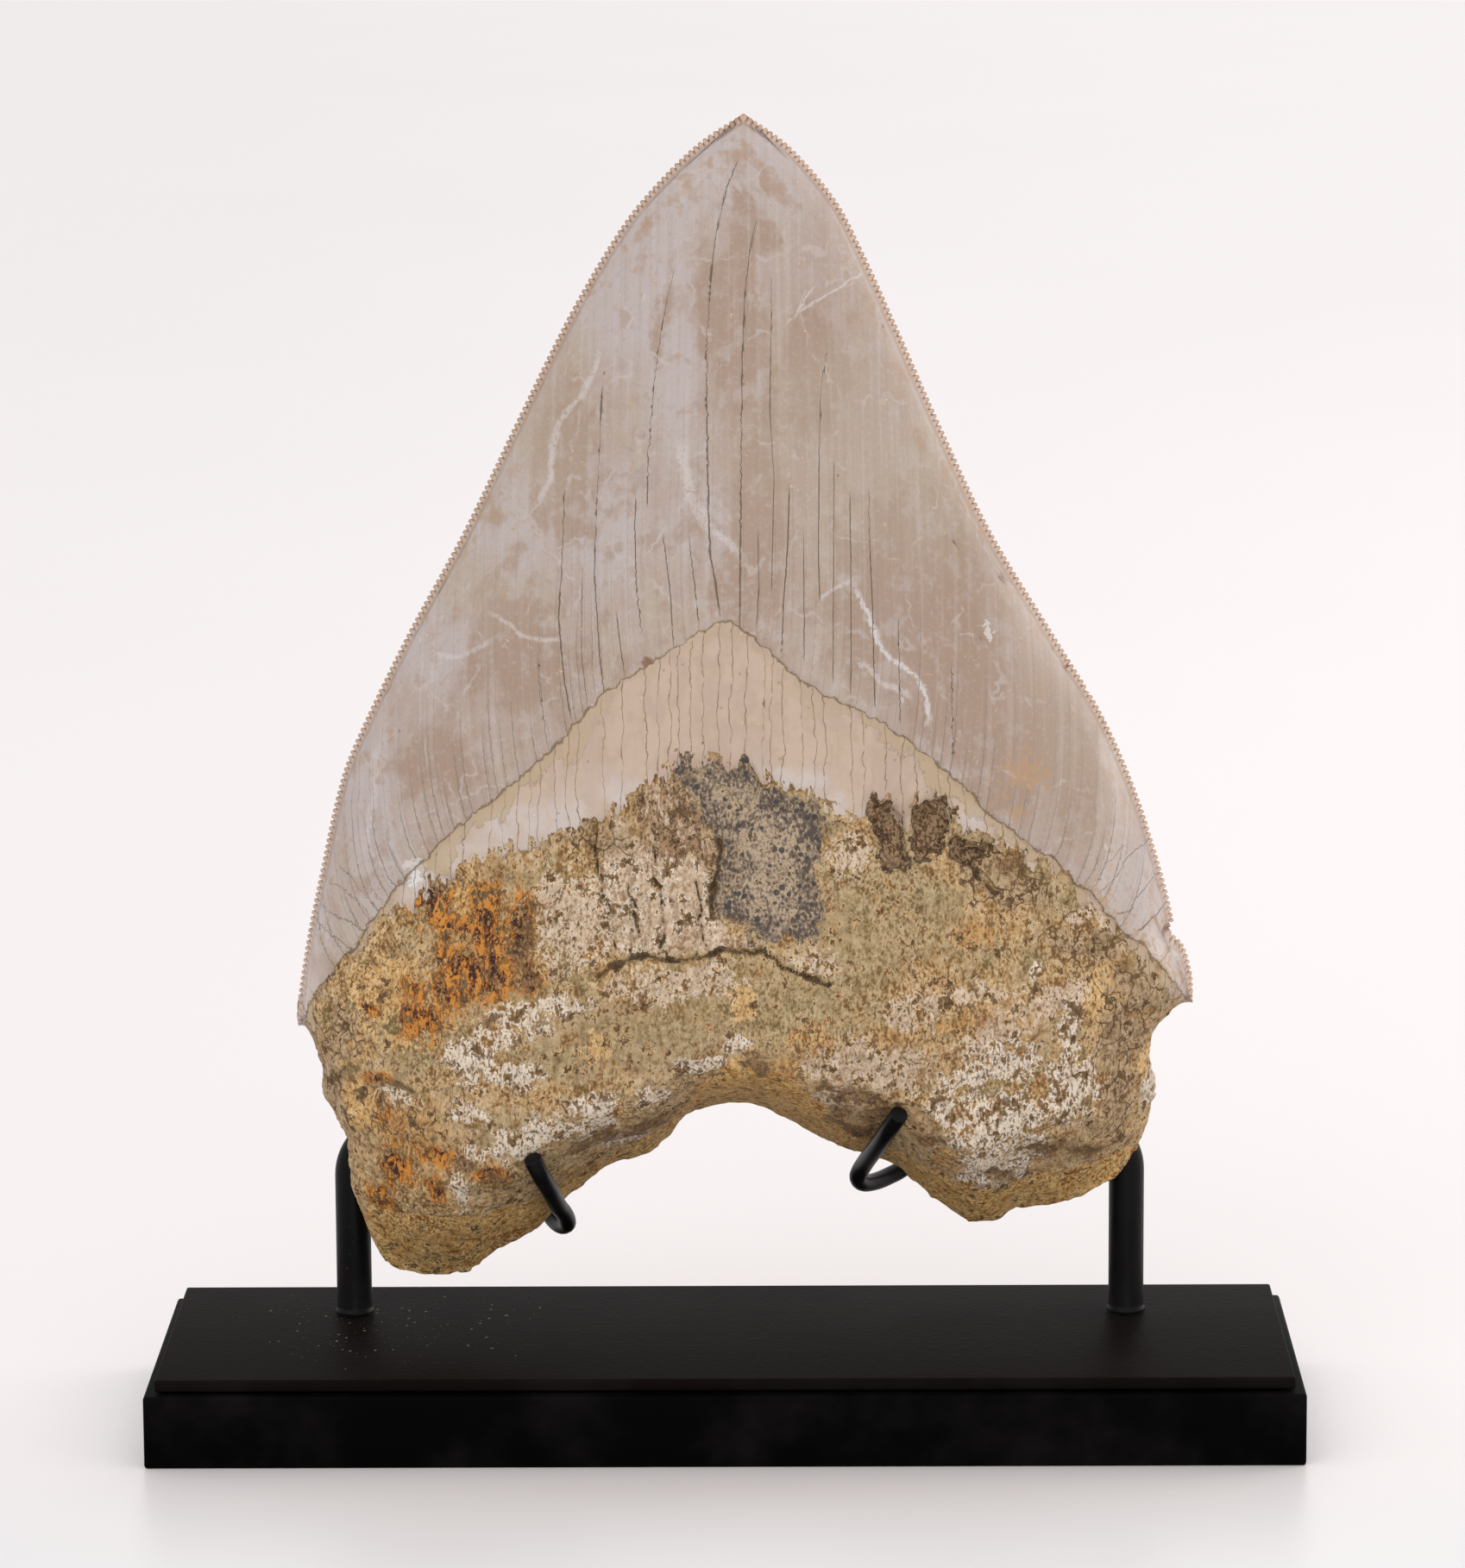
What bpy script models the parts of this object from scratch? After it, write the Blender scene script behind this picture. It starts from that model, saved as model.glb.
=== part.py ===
"""Fossil megalodon tooth held upright on a black two-post display stand.

Metres, +Z up. The origin is the bottom centre of the plinth. The tooth's convex
inner face looks to -Y, and the posts stand behind it. Shapes are laid out in
millimetres and scaled by MM as they become vertices.
"""
import bisect
import math

import bmesh
import bpy
from mathutils import Vector, noise

MM = 0.001
INCH = 25.4
GAP = 0.3                       # clearance between pieces that touch

# ---- stand, millimetres ----
PLINTH_WIDTH = 6.0 * INCH
PLINTH_DEPTH = 2.0 * INCH
PLINTH_HEIGHT = 9.7
PLINTH_ROUNDING = 0.45
PLATE_REBATE = 1.4              # step from the plinth's side to the plate's side
PLATE_THICKNESS = 1.6
PLATE_ROUNDING = 0.3

POST_DIAMETER = 3.0 / 16.0 * INCH
POST_Y = 9.6
POST_BEND_RADIUS = 6.5
POST_BEND_STEPS = 6
POST_SIDES_RESOLUTION = 4
FILLET_RISE = 0.9               # ring of paint and weld at a post's foot
FILLET_SPREAD = 1.24            # its widest radius over the post's radius
LEFT_POST_X = -50.6
LEFT_POST_STRAIGHT_TOP = 31.0
LEFT_ARM_END_X = -31.0
RIGHT_POST_X = 54.2
RIGHT_POST_STRAIGHT_TOP = 31.5
RIGHT_ARM_END_X = 32.0

HOOK_DIAMETER = 3.0 / 32.0 * INCH
HOOK_SIDES_RESOLUTION = 2
HOOK_STATIONS = 20              # rings along one hook

# A hook's centreline, from the post's arm under the root to its cut end in front
LEFT_HOOK_ROUTE = [
    (-30.6, 9.6, 37.5), (-27.4, 9.6, 37.5), (-25.6, 9.6, 34.6), (-25.0, 9.4, 28.8),
    (-23.7, 7.6, 25.8), (-22.3, 4.6, 25.2), (-21.3, 1.6, 26.2), (-21.5, -1.8, 28.3),
    (-22.2, -5.8, 30.5), (-23.1, -13.2, 34.6), (-24.1, -18.3, 37.9), (-25.0, -20.0, 40.4),
]
RIGHT_HOOK_ROUTE = [
    (31.6, 9.6, 38.0), (28.4, 9.6, 38.0), (26.4, 9.6, 34.8), (24.2, 9.3, 32.0),
    (22.0, 7.2, 31.2), (20.0, 4.4, 31.1), (18.4, 1.6, 31.7), (17.8, -0.8, 33.2),
    (18.6, -3.4, 35.5), (20.2, -11.0, 39.7), (21.6, -17.2, 43.4), (23.0, -20.5, 46.3),
]

# ---- tooth, millimetres: outline as (x, z) ----
SERRATIONS = 168                # teeth of the saw edge on each side
SERRATION_DEPTH = 0.5
SERRATION_GROUND = 1.1          # width of the strip that carries them
SERRATION_TAPER = 3             # steps over which that strip narrows at its two ends

LEFT_CUTTING_EDGE = [
    (3.2, 175.0), (-3.2, 170.8), (-10.0, 164.0), (-14.8, 157.4), (-20.7, 147.2),
    (-27.5, 133.6), (-34.2, 120.0), (-41.9, 106.1), (-48.7, 92.3), (-51.2, 85.4),
    (-53.6, 74.9), (-55.5, 66.0), (-57.0, 56.5), (-56.8, 53.4),
]
RIGHT_CUTTING_EDGE = [
    (3.2, 175.0), (9.1, 170.8), (15.0, 164.0), (18.6, 157.3), (23.2, 147.1),
    (29.2, 133.4), (35.7, 119.7), (44.1, 105.8), (50.3, 95.5), (54.9, 85.0),
    (58.2, 74.6), (59.8, 68.0), (59.5, 66.3), (61.3, 64.2), (62.4, 60.0), (62.4, 56.2),
]
LEFT_BAND_END = [(-56.8, 53.4), (-54.6, 51.0)]
RIGHT_BAND_END = [(62.4, 56.2), (60.0, 55.5), (58.2, 53.9)]
LEFT_ROOT_SIDE = [
    (-54.6, 51.0), (-54.1, 48.0), (-54.3, 43.6), (-52.3, 41.5), (-50.9, 38.5),
    (-50.7, 33.0), (-49.6, 28.6), (-47.2, 22.4), (-45.5, 20.0),
]
RIGHT_ROOT_SIDE = [
    (58.2, 53.9), (56.9, 51.0), (57.3, 48.2), (58.3, 45.8), (57.5, 41.8), (56.0, 36.9),
]
ROOT_BOTTOM = [
    (-45.5, 20.0), (-39.7, 18.6), (-34.4, 19.2), (-29.9, 22.8), (-25.6, 24.6),
    (-21.0, 29.9), (-14.9, 34.4), (-11.3, 35.0), (-8.2, 36.9), (-5.0, 41.3),
    (0.5, 42.5), (4.4, 42.3), (10.8, 38.8), (14.6, 36.5), (22.7, 34.1), (26.8, 30.1),
    (32.6, 25.8), (37.0, 26.0), (38.4, 28.0), (43.9, 28.0), (52.0, 31.6), (56.0, 36.9),
]

# Lower border of the enamel, and of the smooth band under it, on the front face
FRONT_ENAMEL_BORDER = [
    (-56.8, 53.4), (-54.2, 59.6), (-50.0, 65.2), (-41.8, 76.0), (-34.8, 83.0),
    (-26.8, 89.6), (-19.8, 96.1), (-15.3, 101.2), (-9.6, 104.8), (-4.0, 108.2),
    (1.1, 110.9), (7.2, 105.9), (11.1, 102.2), (20.1, 97.7), (27.4, 92.4),
    (35.3, 84.6), (45.5, 76.6), (51.2, 70.0), (56.0, 65.0), (60.0, 60.0), (62.4, 56.2),
]
FRONT_BAND_BORDER = [
    (-54.6, 51.0), (-52.2, 58.0), (-48.6, 63.6), (-41.6, 71.8), (-38.0, 75.6),
    (-33.6, 78.4), (-27.9, 80.8), (-22.2, 81.8), (-15.4, 85.2), (-8.6, 89.4),
    (-5.2, 93.2), (3.8, 92.0), (7.7, 89.7), (18.4, 84.6), (24.0, 86.4), (30.0, 84.0),
    (36.4, 81.3), (41.0, 76.4), (45.3, 73.0), (50.5, 67.0), (55.0, 61.0), (58.2, 53.9),
]
BACK_ENAMEL_BORDER = [
    (-56.8, 53.4), (-50.0, 60.4), (-38.0, 65.8), (-20.0, 70.6), (0.0, 74.2),
    (18.0, 71.8), (38.0, 67.4), (52.0, 62.6), (62.4, 56.2),
]

# Thickness, as (z, value) profiles
FRONT_SWELL = [
    (18, 19.0), (30, 21.5), (45, 23.6), (60, 23.6), (72, 21.6), (85, 18.8), (100, 16.4),
    (120, 13.2), (140, 10.0), (155, 7.0), (165, 4.6), (171, 2.6), (175, 0.0),
]
BACK_SWELL = [
    (18, 4.8), (38, 7.1), (55, 6.6), (70, 5.2), (90, 4.2), (120, 3.0), (160, 1.4), (175, 0.0),
]
# How quickly the swell rises from a side edge: low is blocky, 1 is a plain lens
CROSS_POWER = [(18, 0.34), (48, 0.36), (58, 0.5), (80, 0.64), (110, 0.74), (175, 0.8)]
BACK_CROSS_POWER = [(18, 0.4), (50, 0.45), (70, 0.8), (175, 0.9)]

TOOTH_LEAN = 0.02               # backward lean, mm per mm of height
TOOTH_LEAN_FOOT = 50.0          # height where the lean starts to count from
ROOT_EDGE_Y = 2.0               # the root's side edges stand behind the crown's
ROOT_TOP = 58.0
ROOT_BLEND = 12.0
BEVEL_AT_ARCH = 10.5            # height of the sloping underside of the root
BEVEL_AT_LOBE = 16.0
BEVEL_LOBE_X = 30.0
BEVEL_ARCH_X = 1.0
BEVEL_CURVE = 1.35
BACK_ROUNDING = 4.0             # height of the rounding at the back's lower edge

ENAMEL_LEDGE = 0.75             # enamel stands this much over the band
BAND_LEDGE = 0.7                # and the band over the porous root
LEDGE_INSET = 3.5               # both run out this far from the side edges
THINNEST_SHARE = 0.003          # keeps the faces apart where they run out at the edges
BACK_HOLLOW = (2.0, 60.0, 18.0, 14.0, 1.4)      # x, z, half width, half height, depth

# Pits and hollows of the root's front: x, z, radius, depth
FRONT_PITS = [
    (22.4, 84.0, 2.6, 2.2), (27.8, 84.0, 2.3, 1.9), (33.2, 79.6, 2.4, 1.5),
    (5.5, 77.0, 7.5, 0.7), (-32.0, 63.0, 6.0, 0.6), (47.0, 62.0, 4.0, 0.8),
    (41.0, 36.0, 4.5, 0.9), (51.0, 44.0, 4.0, 0.8), (-44.0, 33.0, 3.5, 0.8),
    (14.0, 46.0, 5.0, 0.6),
]
PIT_SQUARENESS = 4              # high makes a pit's wall steep and its floor flat
LUMP_SIZES = [(8.5, 1.1), (3.8, 0.6)]          # wavelength and height of the root's lumps
FRONT_LUMP_LAYER = -7.0         # where in the noise each face's lumps are taken from
BACK_LUMP_LAYER = 7.0
BACK_LUMP_SHARE = 0.6           # the back is that much calmer
LUMP_FADE = 5.0                 # lumps die out this far above the band's border

# Mesh fineness
CROWN_ROWS = 22
BAND_STEPS = [0.045, 0.5, 0.955]
ROOT_STEPS = [0.02] + [0.94 * k / 17 for k in range(1, 18)] + [0.975]
BACK_CROWN_ROWS = 15
BACK_ROOT_STEPS = [0.03] + [0.94 * k / 9 for k in range(1, 10)] + [0.975]
FRONT_COLUMNS = 50
BACK_COLUMNS = 24
EDGE_CROWDING = 0.55            # share of cosine spacing, which crowds columns at the sides
ROOT_SIDE_POINTS = 16
ROOT_BOTTOM_POINTS = 70

COLLECTION_NAME = "megalodon_tooth_on_stand"
FINISHES = {                    # base colour, roughness, metallic
    "fossil": ((0.52, 0.43, 0.33), 0.5, 0.0),
    "black_paint": ((0.012, 0.012, 0.013), 0.45, 0.0),
}


def clear_scene():
    """Remove whatever the scene already holds."""
    for thing in list(bpy.data.objects):
        bpy.data.objects.remove(thing, do_unlink=True)


def finish(name, slot):
    """A plain Principled material of the given finish, one for each sub-part."""
    colour, roughness, metallic = FINISHES[slot]
    material = bpy.data.materials.new(name + "_" + slot)
    material.use_nodes = True
    shader = material.node_tree.nodes["Principled BSDF"]
    shader.inputs["Base Color"].default_value = (*colour, 1.0)
    shader.inputs["Roughness"].default_value = roughness
    shader.inputs["Metallic"].default_value = metallic
    return material


def place(thing, collection, slot):
    """Put an object in the part's collection and give it its finish."""
    for other in list(thing.users_collection):
        other.objects.unlink(thing)
    collection.objects.link(thing)
    thing.data.materials.append(finish(thing.name, slot))


# ---- outline helpers ----

def profile_value(profile, at):
    """Straight interpolation in a list of (place, value) pairs, held at both ends."""
    places = [pair[0] for pair in profile]
    if at <= places[0]:
        return profile[0][1]
    if at >= places[-1]:
        return profile[-1][1]
    k = bisect.bisect_right(places, at)
    (x0, v0), (x1, v1) = profile[k - 1], profile[k]
    return v0 + (v1 - v0) * (at - x0) / (x1 - x0)


def smooth_path(points, per_span=12):
    """A Catmull-Rom curve through the points, as many short steps."""
    ends = [points[0]] + list(points) + [points[-1]]
    knots = [Vector(p) for p in ends]
    path = []
    for a, b, c, d in zip(knots, knots[1:], knots[2:], knots[3:]):
        for step in range(per_span):
            t = step / per_span
            path.append(0.5 * (2 * b + (c - a) * t + (2 * a - 5 * b + 4 * c - d) * t * t
                               + (3 * b - a - 3 * c + d) * t ** 3))
    path.append(knots[-1])
    return path


def along(path):
    """A function from 0..1 to the point that far along a polyline."""
    points = [Vector(p) for p in path]
    reach = [0.0]
    for a, b in zip(points, points[1:]):
        reach.append(reach[-1] + (b - a).length)

    def point_at(share):
        wanted = min(max(share, 0.0), 1.0) * reach[-1]
        k = min(max(bisect.bisect_right(reach, wanted), 1), len(points) - 1)
        span = reach[k] - reach[k - 1]
        return points[k - 1].lerp(points[k], (wanted - reach[k - 1]) / span)
    return point_at


def across(border):
    """A function from 0..1 to the point that far across a border, measured along X."""
    left, right = border[0][0], border[-1][0]

    def point_at(share):
        x = left + (right - left) * share
        return Vector((x, profile_value(border, x)))
    return point_at


def patch(top, bottom, left, right):
    """Coons patch: a point from its share across and its share down."""
    corners = (top(0.0), top(1.0), bottom(0.0), bottom(1.0))

    def point_at(u, v):
        ruled = top(u).lerp(bottom(u), v) + left(v).lerp(right(v), u)
        return ruled - corners[0].lerp(corners[1], u).lerp(corners[2].lerp(corners[3], u), v)
    return point_at


def inset(path, inward):
    """The line inside a cutting edge that its saw teeth grow from, joining it at both ends."""
    point_at = along(path)
    count = SERRATIONS // 2
    points = [path[0]]
    for k in range(1, count):
        here = point_at(k / count)
        step = point_at((k + 0.5) / count) - point_at((k - 0.5) / count)
        side = Vector((-step[1], step[0])).normalized() * inward
        taper = min(k / SERRATION_TAPER, (count - k) / SERRATION_TAPER, 1.0)
        points.append(here + side * (SERRATION_GROUND * taper))
    points.append(path[-1])
    return points


LEFT_EDGE = smooth_path(LEFT_CUTTING_EDGE)
RIGHT_EDGE = smooth_path(RIGHT_CUTTING_EDGE)
LEFT_INSET = inset(LEFT_EDGE, 1)
RIGHT_INSET = inset(RIGHT_EDGE, -1)


# ---- the tooth's surfaces ----

LEFT_LIMIT = sorted((p[1], p[0]) for p in LEFT_CUTTING_EDGE[:-1] + LEFT_ROOT_SIDE[1:])
RIGHT_LIMIT = sorted((p[1], p[0]) for p in RIGHT_CUTTING_EDGE[:-1] + RIGHT_ROOT_SIDE[1:])


def edge_y(z):
    """Depth of the outline: the crown's plane, and the root's set a little behind it."""
    root_share = min(max((ROOT_TOP - z) / ROOT_BLEND, 0.0), 1.0)
    return TOOTH_LEAN * (z - TOOTH_LEAN_FOOT) + ROOT_EDGE_Y * root_share


def crosswise(x, z):
    """1 on the middle line of the tooth at this height, 0 at its side edges."""
    left = profile_value(LEFT_LIMIT, z)
    right = profile_value(RIGHT_LIMIT, z)
    share = min(max((x - left) / (right - left), THINNEST_SHARE), 1.0 - THINNEST_SHARE)
    return 4.0 * share * (1.0 - share)


def side_distance(x, z):
    """Distance from the nearer side edge, along X."""
    return min(x - profile_value(LEFT_LIMIT, z), profile_value(RIGHT_LIMIT, z) - x)


def above_bottom(x, z):
    """Height above the root's lower outline."""
    return max(z - profile_value(ROOT_BOTTOM, x), 0.0)


def underside_share(x, z):
    """0 on the lower outline, rising to 1 at the top of the root's sloping underside."""
    lobe = min(abs(x - BEVEL_ARCH_X) / BEVEL_LOBE_X, 1.0)
    height = BEVEL_AT_ARCH + (BEVEL_AT_LOBE - BEVEL_AT_ARCH) * lobe
    rise = min(above_bottom(x, z) / height, 1.0)
    return 1.0 - (1.0 - rise) ** BEVEL_CURVE


def lumps(x, z, layer):
    """Uneven growth of the root, in millimetres out of its face."""
    return sum(height * noise.noise(Vector((x / size, layer, z / size)))
               for size, height in LUMP_SIZES)


def pits(x, z):
    """Depth of the hollows on the front of the root."""
    depth = 0.0
    for px, pz, radius, deep in FRONT_PITS:
        off = math.hypot(x - px, z - pz) / radius
        depth += deep * math.exp(-off ** PIT_SQUARENESS)
    return depth


def root_share(z_border, z):
    """0 on the crown side of a border, rising to 1 some way down the root."""
    return min(max((z_border - z) / LUMP_FADE, 0.0), 1.0)


def front_y(x, z, ledge):
    """Depth of the front face; ledge is how far its layer stands out."""
    swell = profile_value(FRONT_SWELL, z) * crosswise(x, z) ** profile_value(CROSS_POWER, z)
    inner = min(side_distance(x, z) / LEDGE_INSET, 1.0)
    rough = root_share(profile_value(FRONT_BAND_BORDER, x), z)
    slope = underside_share(x, z)
    relief = ledge + rough * slope * lumps(x, z, FRONT_LUMP_LAYER)
    return edge_y(z) - swell * slope - relief * inner + pits(x, z) * inner * slope


def back_y(x, z, ledge):
    """Depth of the back face, which is much flatter."""
    swell = profile_value(BACK_SWELL, z) * crosswise(x, z) ** profile_value(BACK_CROSS_POWER, z)
    rounding = math.sqrt(min(above_bottom(x, z) / BACK_ROUNDING, 1.0))
    inner = min(side_distance(x, z) / LEDGE_INSET, 1.0)
    rough = root_share(profile_value(BACK_ENAMEL_BORDER, x), z)
    hx, hz, half_width, half_height, depth = BACK_HOLLOW
    hollow = depth * math.exp(-((x - hx) / half_width) ** 2 - ((z - hz) / half_height) ** 2)
    relief = ledge + rough * lumps(x, z, BACK_LUMP_LAYER) * BACK_LUMP_SHARE
    return edge_y(z) + swell * rounding + (relief - hollow) * inner * rounding


# ---- the tooth's mesh ----

def columns(count, crowding):
    """Shares across a row, without its two ends, crowded towards the sides."""
    shares = []
    for k in range(1, count):
        even = k / count
        crowded = 0.5 - 0.5 * math.cos(math.pi * even)
        shares.append(even + (crowded - even) * crowding)
    return shares


def sheet_rows(patches, column_count, depth):
    """Rows of points of one face, from the tip down.

    Each patch comes with its steps, its ledge, and whether its columns start evenly
    spaced and crowd to the sides only as they come down.
    """
    rows = []
    for point_at, steps, ledge, starts_even in patches:
        for v in steps:
            crowding = EDGE_CROWDING * (v if starts_even else 1.0)
            flat = [point_at(u, v) for u in columns(column_count, crowding)]
            rows.append([Vector((p[0], depth(p[0], p[1], ledge), p[1])) for p in flat])
    return rows


def serrated(path, outward):
    """Saw edge: peaks on the path and valleys inside it, without the two ends."""
    point_at = along(path)
    halves = 2 * SERRATIONS
    points = []
    for k in range(1, halves):
        here = point_at(k / halves)
        step = point_at((k + 0.5) / halves) - point_at((k - 0.5) / halves)
        side = Vector((-step[1], step[0])).normalized() * outward
        points.append(here - side * (SERRATION_DEPTH * (1 - k % 2)))
    return points


def stitch(mesh, near, far):
    """Triangles between two lines of vertices that run the same way."""
    if near[0] is far[0]:
        mesh.faces.new((near[0], near[1], far[1]))
        near, far = near[1:], far[1:]
    if near[-1] is far[-1]:
        mesh.faces.new((near[-2], near[-1], far[-2]))
        near, far = near[:-1], far[:-1]
    i = j = 0
    while i < len(near) - 1 or j < len(far) - 1:
        if j == len(far) - 1:
            take_near = True
        elif i == len(near) - 1:
            take_near = False
        else:
            near_reach = (near[i + 1].co - far[j].co).length
            far_reach = (far[j + 1].co - near[i].co).length
            take_near = near_reach <= far_reach
        corner = near[i + 1] if take_near else far[j + 1]
        mesh.faces.new((near[i], far[j], corner))
        i, j = (i + 1, j) if take_near else (i, j + 1)


def add_vertices(mesh, points):
    """Vertices at points given in millimetres."""
    return [mesh.verts.new(Vector(p) * MM) for p in points]


def on_outline(flat_points):
    """Outline points (x, z) at the outline's own depth."""
    return [Vector((p[0], edge_y(p[1]), p[1])) for p in flat_points]


def add_sheet(mesh, rows, crown_rows, depth, ends, edges):
    """One face of the tooth, sewn to the outline that both faces share."""
    tip, left_corner, right_corner = ends
    grid = [add_vertices(mesh, row) for row in rows]
    for upper, lower in zip(grid, grid[1:]):
        for k in range(len(upper) - 1):
            mesh.faces.new((upper[k], lower[k], lower[k + 1], upper[k + 1]))
    for a, b in zip(grid[0], grid[0][1:]):
        mesh.faces.new((tip, a, b))
    sides = (("left", LEFT_INSET, left_corner, 0), ("right", RIGHT_INSET, right_corner, -1))
    for side, inner_path, corner, column in sides:
        ground = [Vector((p[0], depth(p[0], p[1], 0.0), p[1])) for p in inner_path[1:-1]]
        ground = [tip] + add_vertices(mesh, ground) + [corner]
        inner = [row[column] for row in grid]
        stitch(mesh, edges[side + "_saw"], ground)
        stitch(mesh, ground, [tip] + inner[:crown_rows])
        stitch(mesh, edges[side + "_root"], inner[crown_rows - 1:])
    stitch(mesh, edges["bottom"], grid[-1])


def shared_outline(mesh):
    """The outline's vertices, as named lines that both faces are sewn to."""
    tip, left_corner, right_corner = add_vertices(
        mesh, on_outline([LEFT_EDGE[0], LEFT_EDGE[-1], RIGHT_EDGE[-1]]))
    left_saw = add_vertices(mesh, on_outline(serrated(LEFT_EDGE, -1)))
    right_saw = add_vertices(mesh, on_outline(serrated(RIGHT_EDGE, 1)))
    left_path = along(LEFT_BAND_END + LEFT_ROOT_SIDE[1:])
    right_path = along(RIGHT_BAND_END + RIGHT_ROOT_SIDE[1:])
    shares = [k / ROOT_SIDE_POINTS for k in range(1, ROOT_SIDE_POINTS + 1)]
    left_root = add_vertices(mesh, on_outline([left_path(s) for s in shares]))
    right_root = add_vertices(mesh, on_outline([right_path(s) for s in shares]))
    bottom_at = across(ROOT_BOTTOM)
    bottom_shares = [k / ROOT_BOTTOM_POINTS for k in range(1, ROOT_BOTTOM_POINTS)]
    bottom = add_vertices(mesh, on_outline([bottom_at(s) for s in bottom_shares]))
    edges = {
        "left_saw": [tip] + left_saw + [left_corner],
        "right_saw": [tip] + right_saw + [right_corner],
        "left_root": [left_corner] + left_root,
        "right_root": [right_corner] + right_root,
        "bottom": [left_root[-1]] + bottom + [right_root[-1]],
    }
    return (tip, left_corner, right_corner), edges


def make_tooth(collection):
    """The tooth: enamel crown, smooth band and porous root in one body."""
    def tip_at(_share):
        return LEFT_EDGE[0]

    left_crown, right_crown = along(LEFT_INSET), along(RIGHT_INSET)
    left_root, right_root = along(LEFT_ROOT_SIDE), along(RIGHT_ROOT_SIDE)
    bottom = across(ROOT_BOTTOM)
    front_enamel, front_band = across(FRONT_ENAMEL_BORDER), across(FRONT_BAND_BORDER)
    back_enamel = across(BACK_ENAMEL_BORDER)
    front = [
        (patch(tip_at, front_enamel, left_crown, right_crown),
         [k / CROWN_ROWS for k in range(1, CROWN_ROWS + 1)], ENAMEL_LEDGE, True),
        (patch(front_enamel, front_band, along(LEFT_BAND_END), along(RIGHT_BAND_END)),
         BAND_STEPS, 0.0, False),
        (patch(front_band, bottom, left_root, right_root), ROOT_STEPS, -BAND_LEDGE, False),
    ]
    back_left = along(LEFT_BAND_END + LEFT_ROOT_SIDE[1:])
    back_right = along(RIGHT_BAND_END + RIGHT_ROOT_SIDE[1:])
    back = [
        (patch(tip_at, back_enamel, left_crown, right_crown),
         [k / BACK_CROWN_ROWS for k in range(1, BACK_CROWN_ROWS + 1)], 0.0, True),
        (patch(back_enamel, bottom, back_left, back_right), BACK_ROOT_STEPS, -ENAMEL_LEDGE,
         False),
    ]
    mesh = bmesh.new()
    ends, edges = shared_outline(mesh)
    front_rows = sheet_rows(front, FRONT_COLUMNS, front_y)
    back_rows = sheet_rows(back, BACK_COLUMNS, back_y)
    add_sheet(mesh, front_rows, CROWN_ROWS, front_y, ends, edges)
    add_sheet(mesh, back_rows, BACK_CROWN_ROWS, back_y, ends, edges)
    bmesh.ops.recalc_face_normals(mesh, faces=mesh.faces)
    bmesh.ops.triangulate(mesh, faces=mesh.faces)
    data = bpy.data.meshes.new("tooth")
    mesh.to_mesh(data)
    mesh.free()
    data.shade_smooth()
    tooth = bpy.data.objects.new("tooth", data)
    place(tooth, collection, "fossil")
    return tooth


# ---- the stand ----

def make_block(name, size, bottom, rounding, collection):
    """A flat block with softened edges, standing on the height given."""
    width, depth, height = (length * MM for length in size)
    bpy.ops.mesh.primitive_cube_add(size=1.0, location=(0.0, 0.0, bottom * MM + height / 2))
    block = bpy.context.object
    block.name = name
    block.scale = (width, depth, height)
    bpy.ops.object.transform_apply(location=False, rotation=False, scale=True)
    bevel = block.modifiers.new("softened_edges", "BEVEL")
    bevel.width = rounding * MM
    bevel.segments = 2
    place(block, collection, "black_paint")
    return block


def make_rod(name, points, radii, diameter, resolution, collection):
    """A round rod along points in millimetres, each with its share of the radius."""
    data = bpy.data.curves.new(name, "CURVE")
    data.dimensions = "3D"
    data.bevel_depth = diameter / 2 * MM
    data.bevel_resolution = resolution
    data.use_fill_caps = True
    spline = data.splines.new("POLY")
    spline.points.add(len(points) - 1)
    for knot, point, radius in zip(spline.points, points, radii):
        knot.co = (*(Vector(point) * MM), 1.0)
        knot.radius = radius
    spline.use_smooth = True
    rod = bpy.data.objects.new(name, data)
    place(rod, collection, "black_paint")
    return rod


def make_post(name, x, straight_top, arm_end, floor, collection):
    """A post with a welded foot, bent over at the top into a short arm behind the root."""
    inward = 1 if arm_end > x else -1
    foot = floor + GAP
    points = [(x, POST_Y, foot), (x, POST_Y, foot + FILLET_RISE / 2),
              (x, POST_Y, foot + FILLET_RISE)]
    radii = [FILLET_SPREAD, (3 + FILLET_SPREAD) / 4, 1.0]
    for k in range(POST_BEND_STEPS + 1):
        turn = math.pi / 2 * k / POST_BEND_STEPS
        points.append((x + inward * POST_BEND_RADIUS * (1 - math.cos(turn)), POST_Y,
                       straight_top + POST_BEND_RADIUS * math.sin(turn)))
        radii.append(1.0)
    points.append((arm_end, POST_Y, straight_top + POST_BEND_RADIUS))
    radii.append(1.0)
    return make_rod(name, points, radii, POST_DIAMETER, POST_SIDES_RESOLUTION, collection)


def make_hook(name, route, collection):
    """A thinner rod from a post's arm, under the root's edge and up in front of it."""
    point_at = along(smooth_path(route))
    points = [point_at(k / (HOOK_STATIONS - 1)) for k in range(HOOK_STATIONS)]
    radii = [1.0] * HOOK_STATIONS
    return make_rod(name, points, radii, HOOK_DIAMETER, HOOK_SIDES_RESOLUTION, collection)


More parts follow.
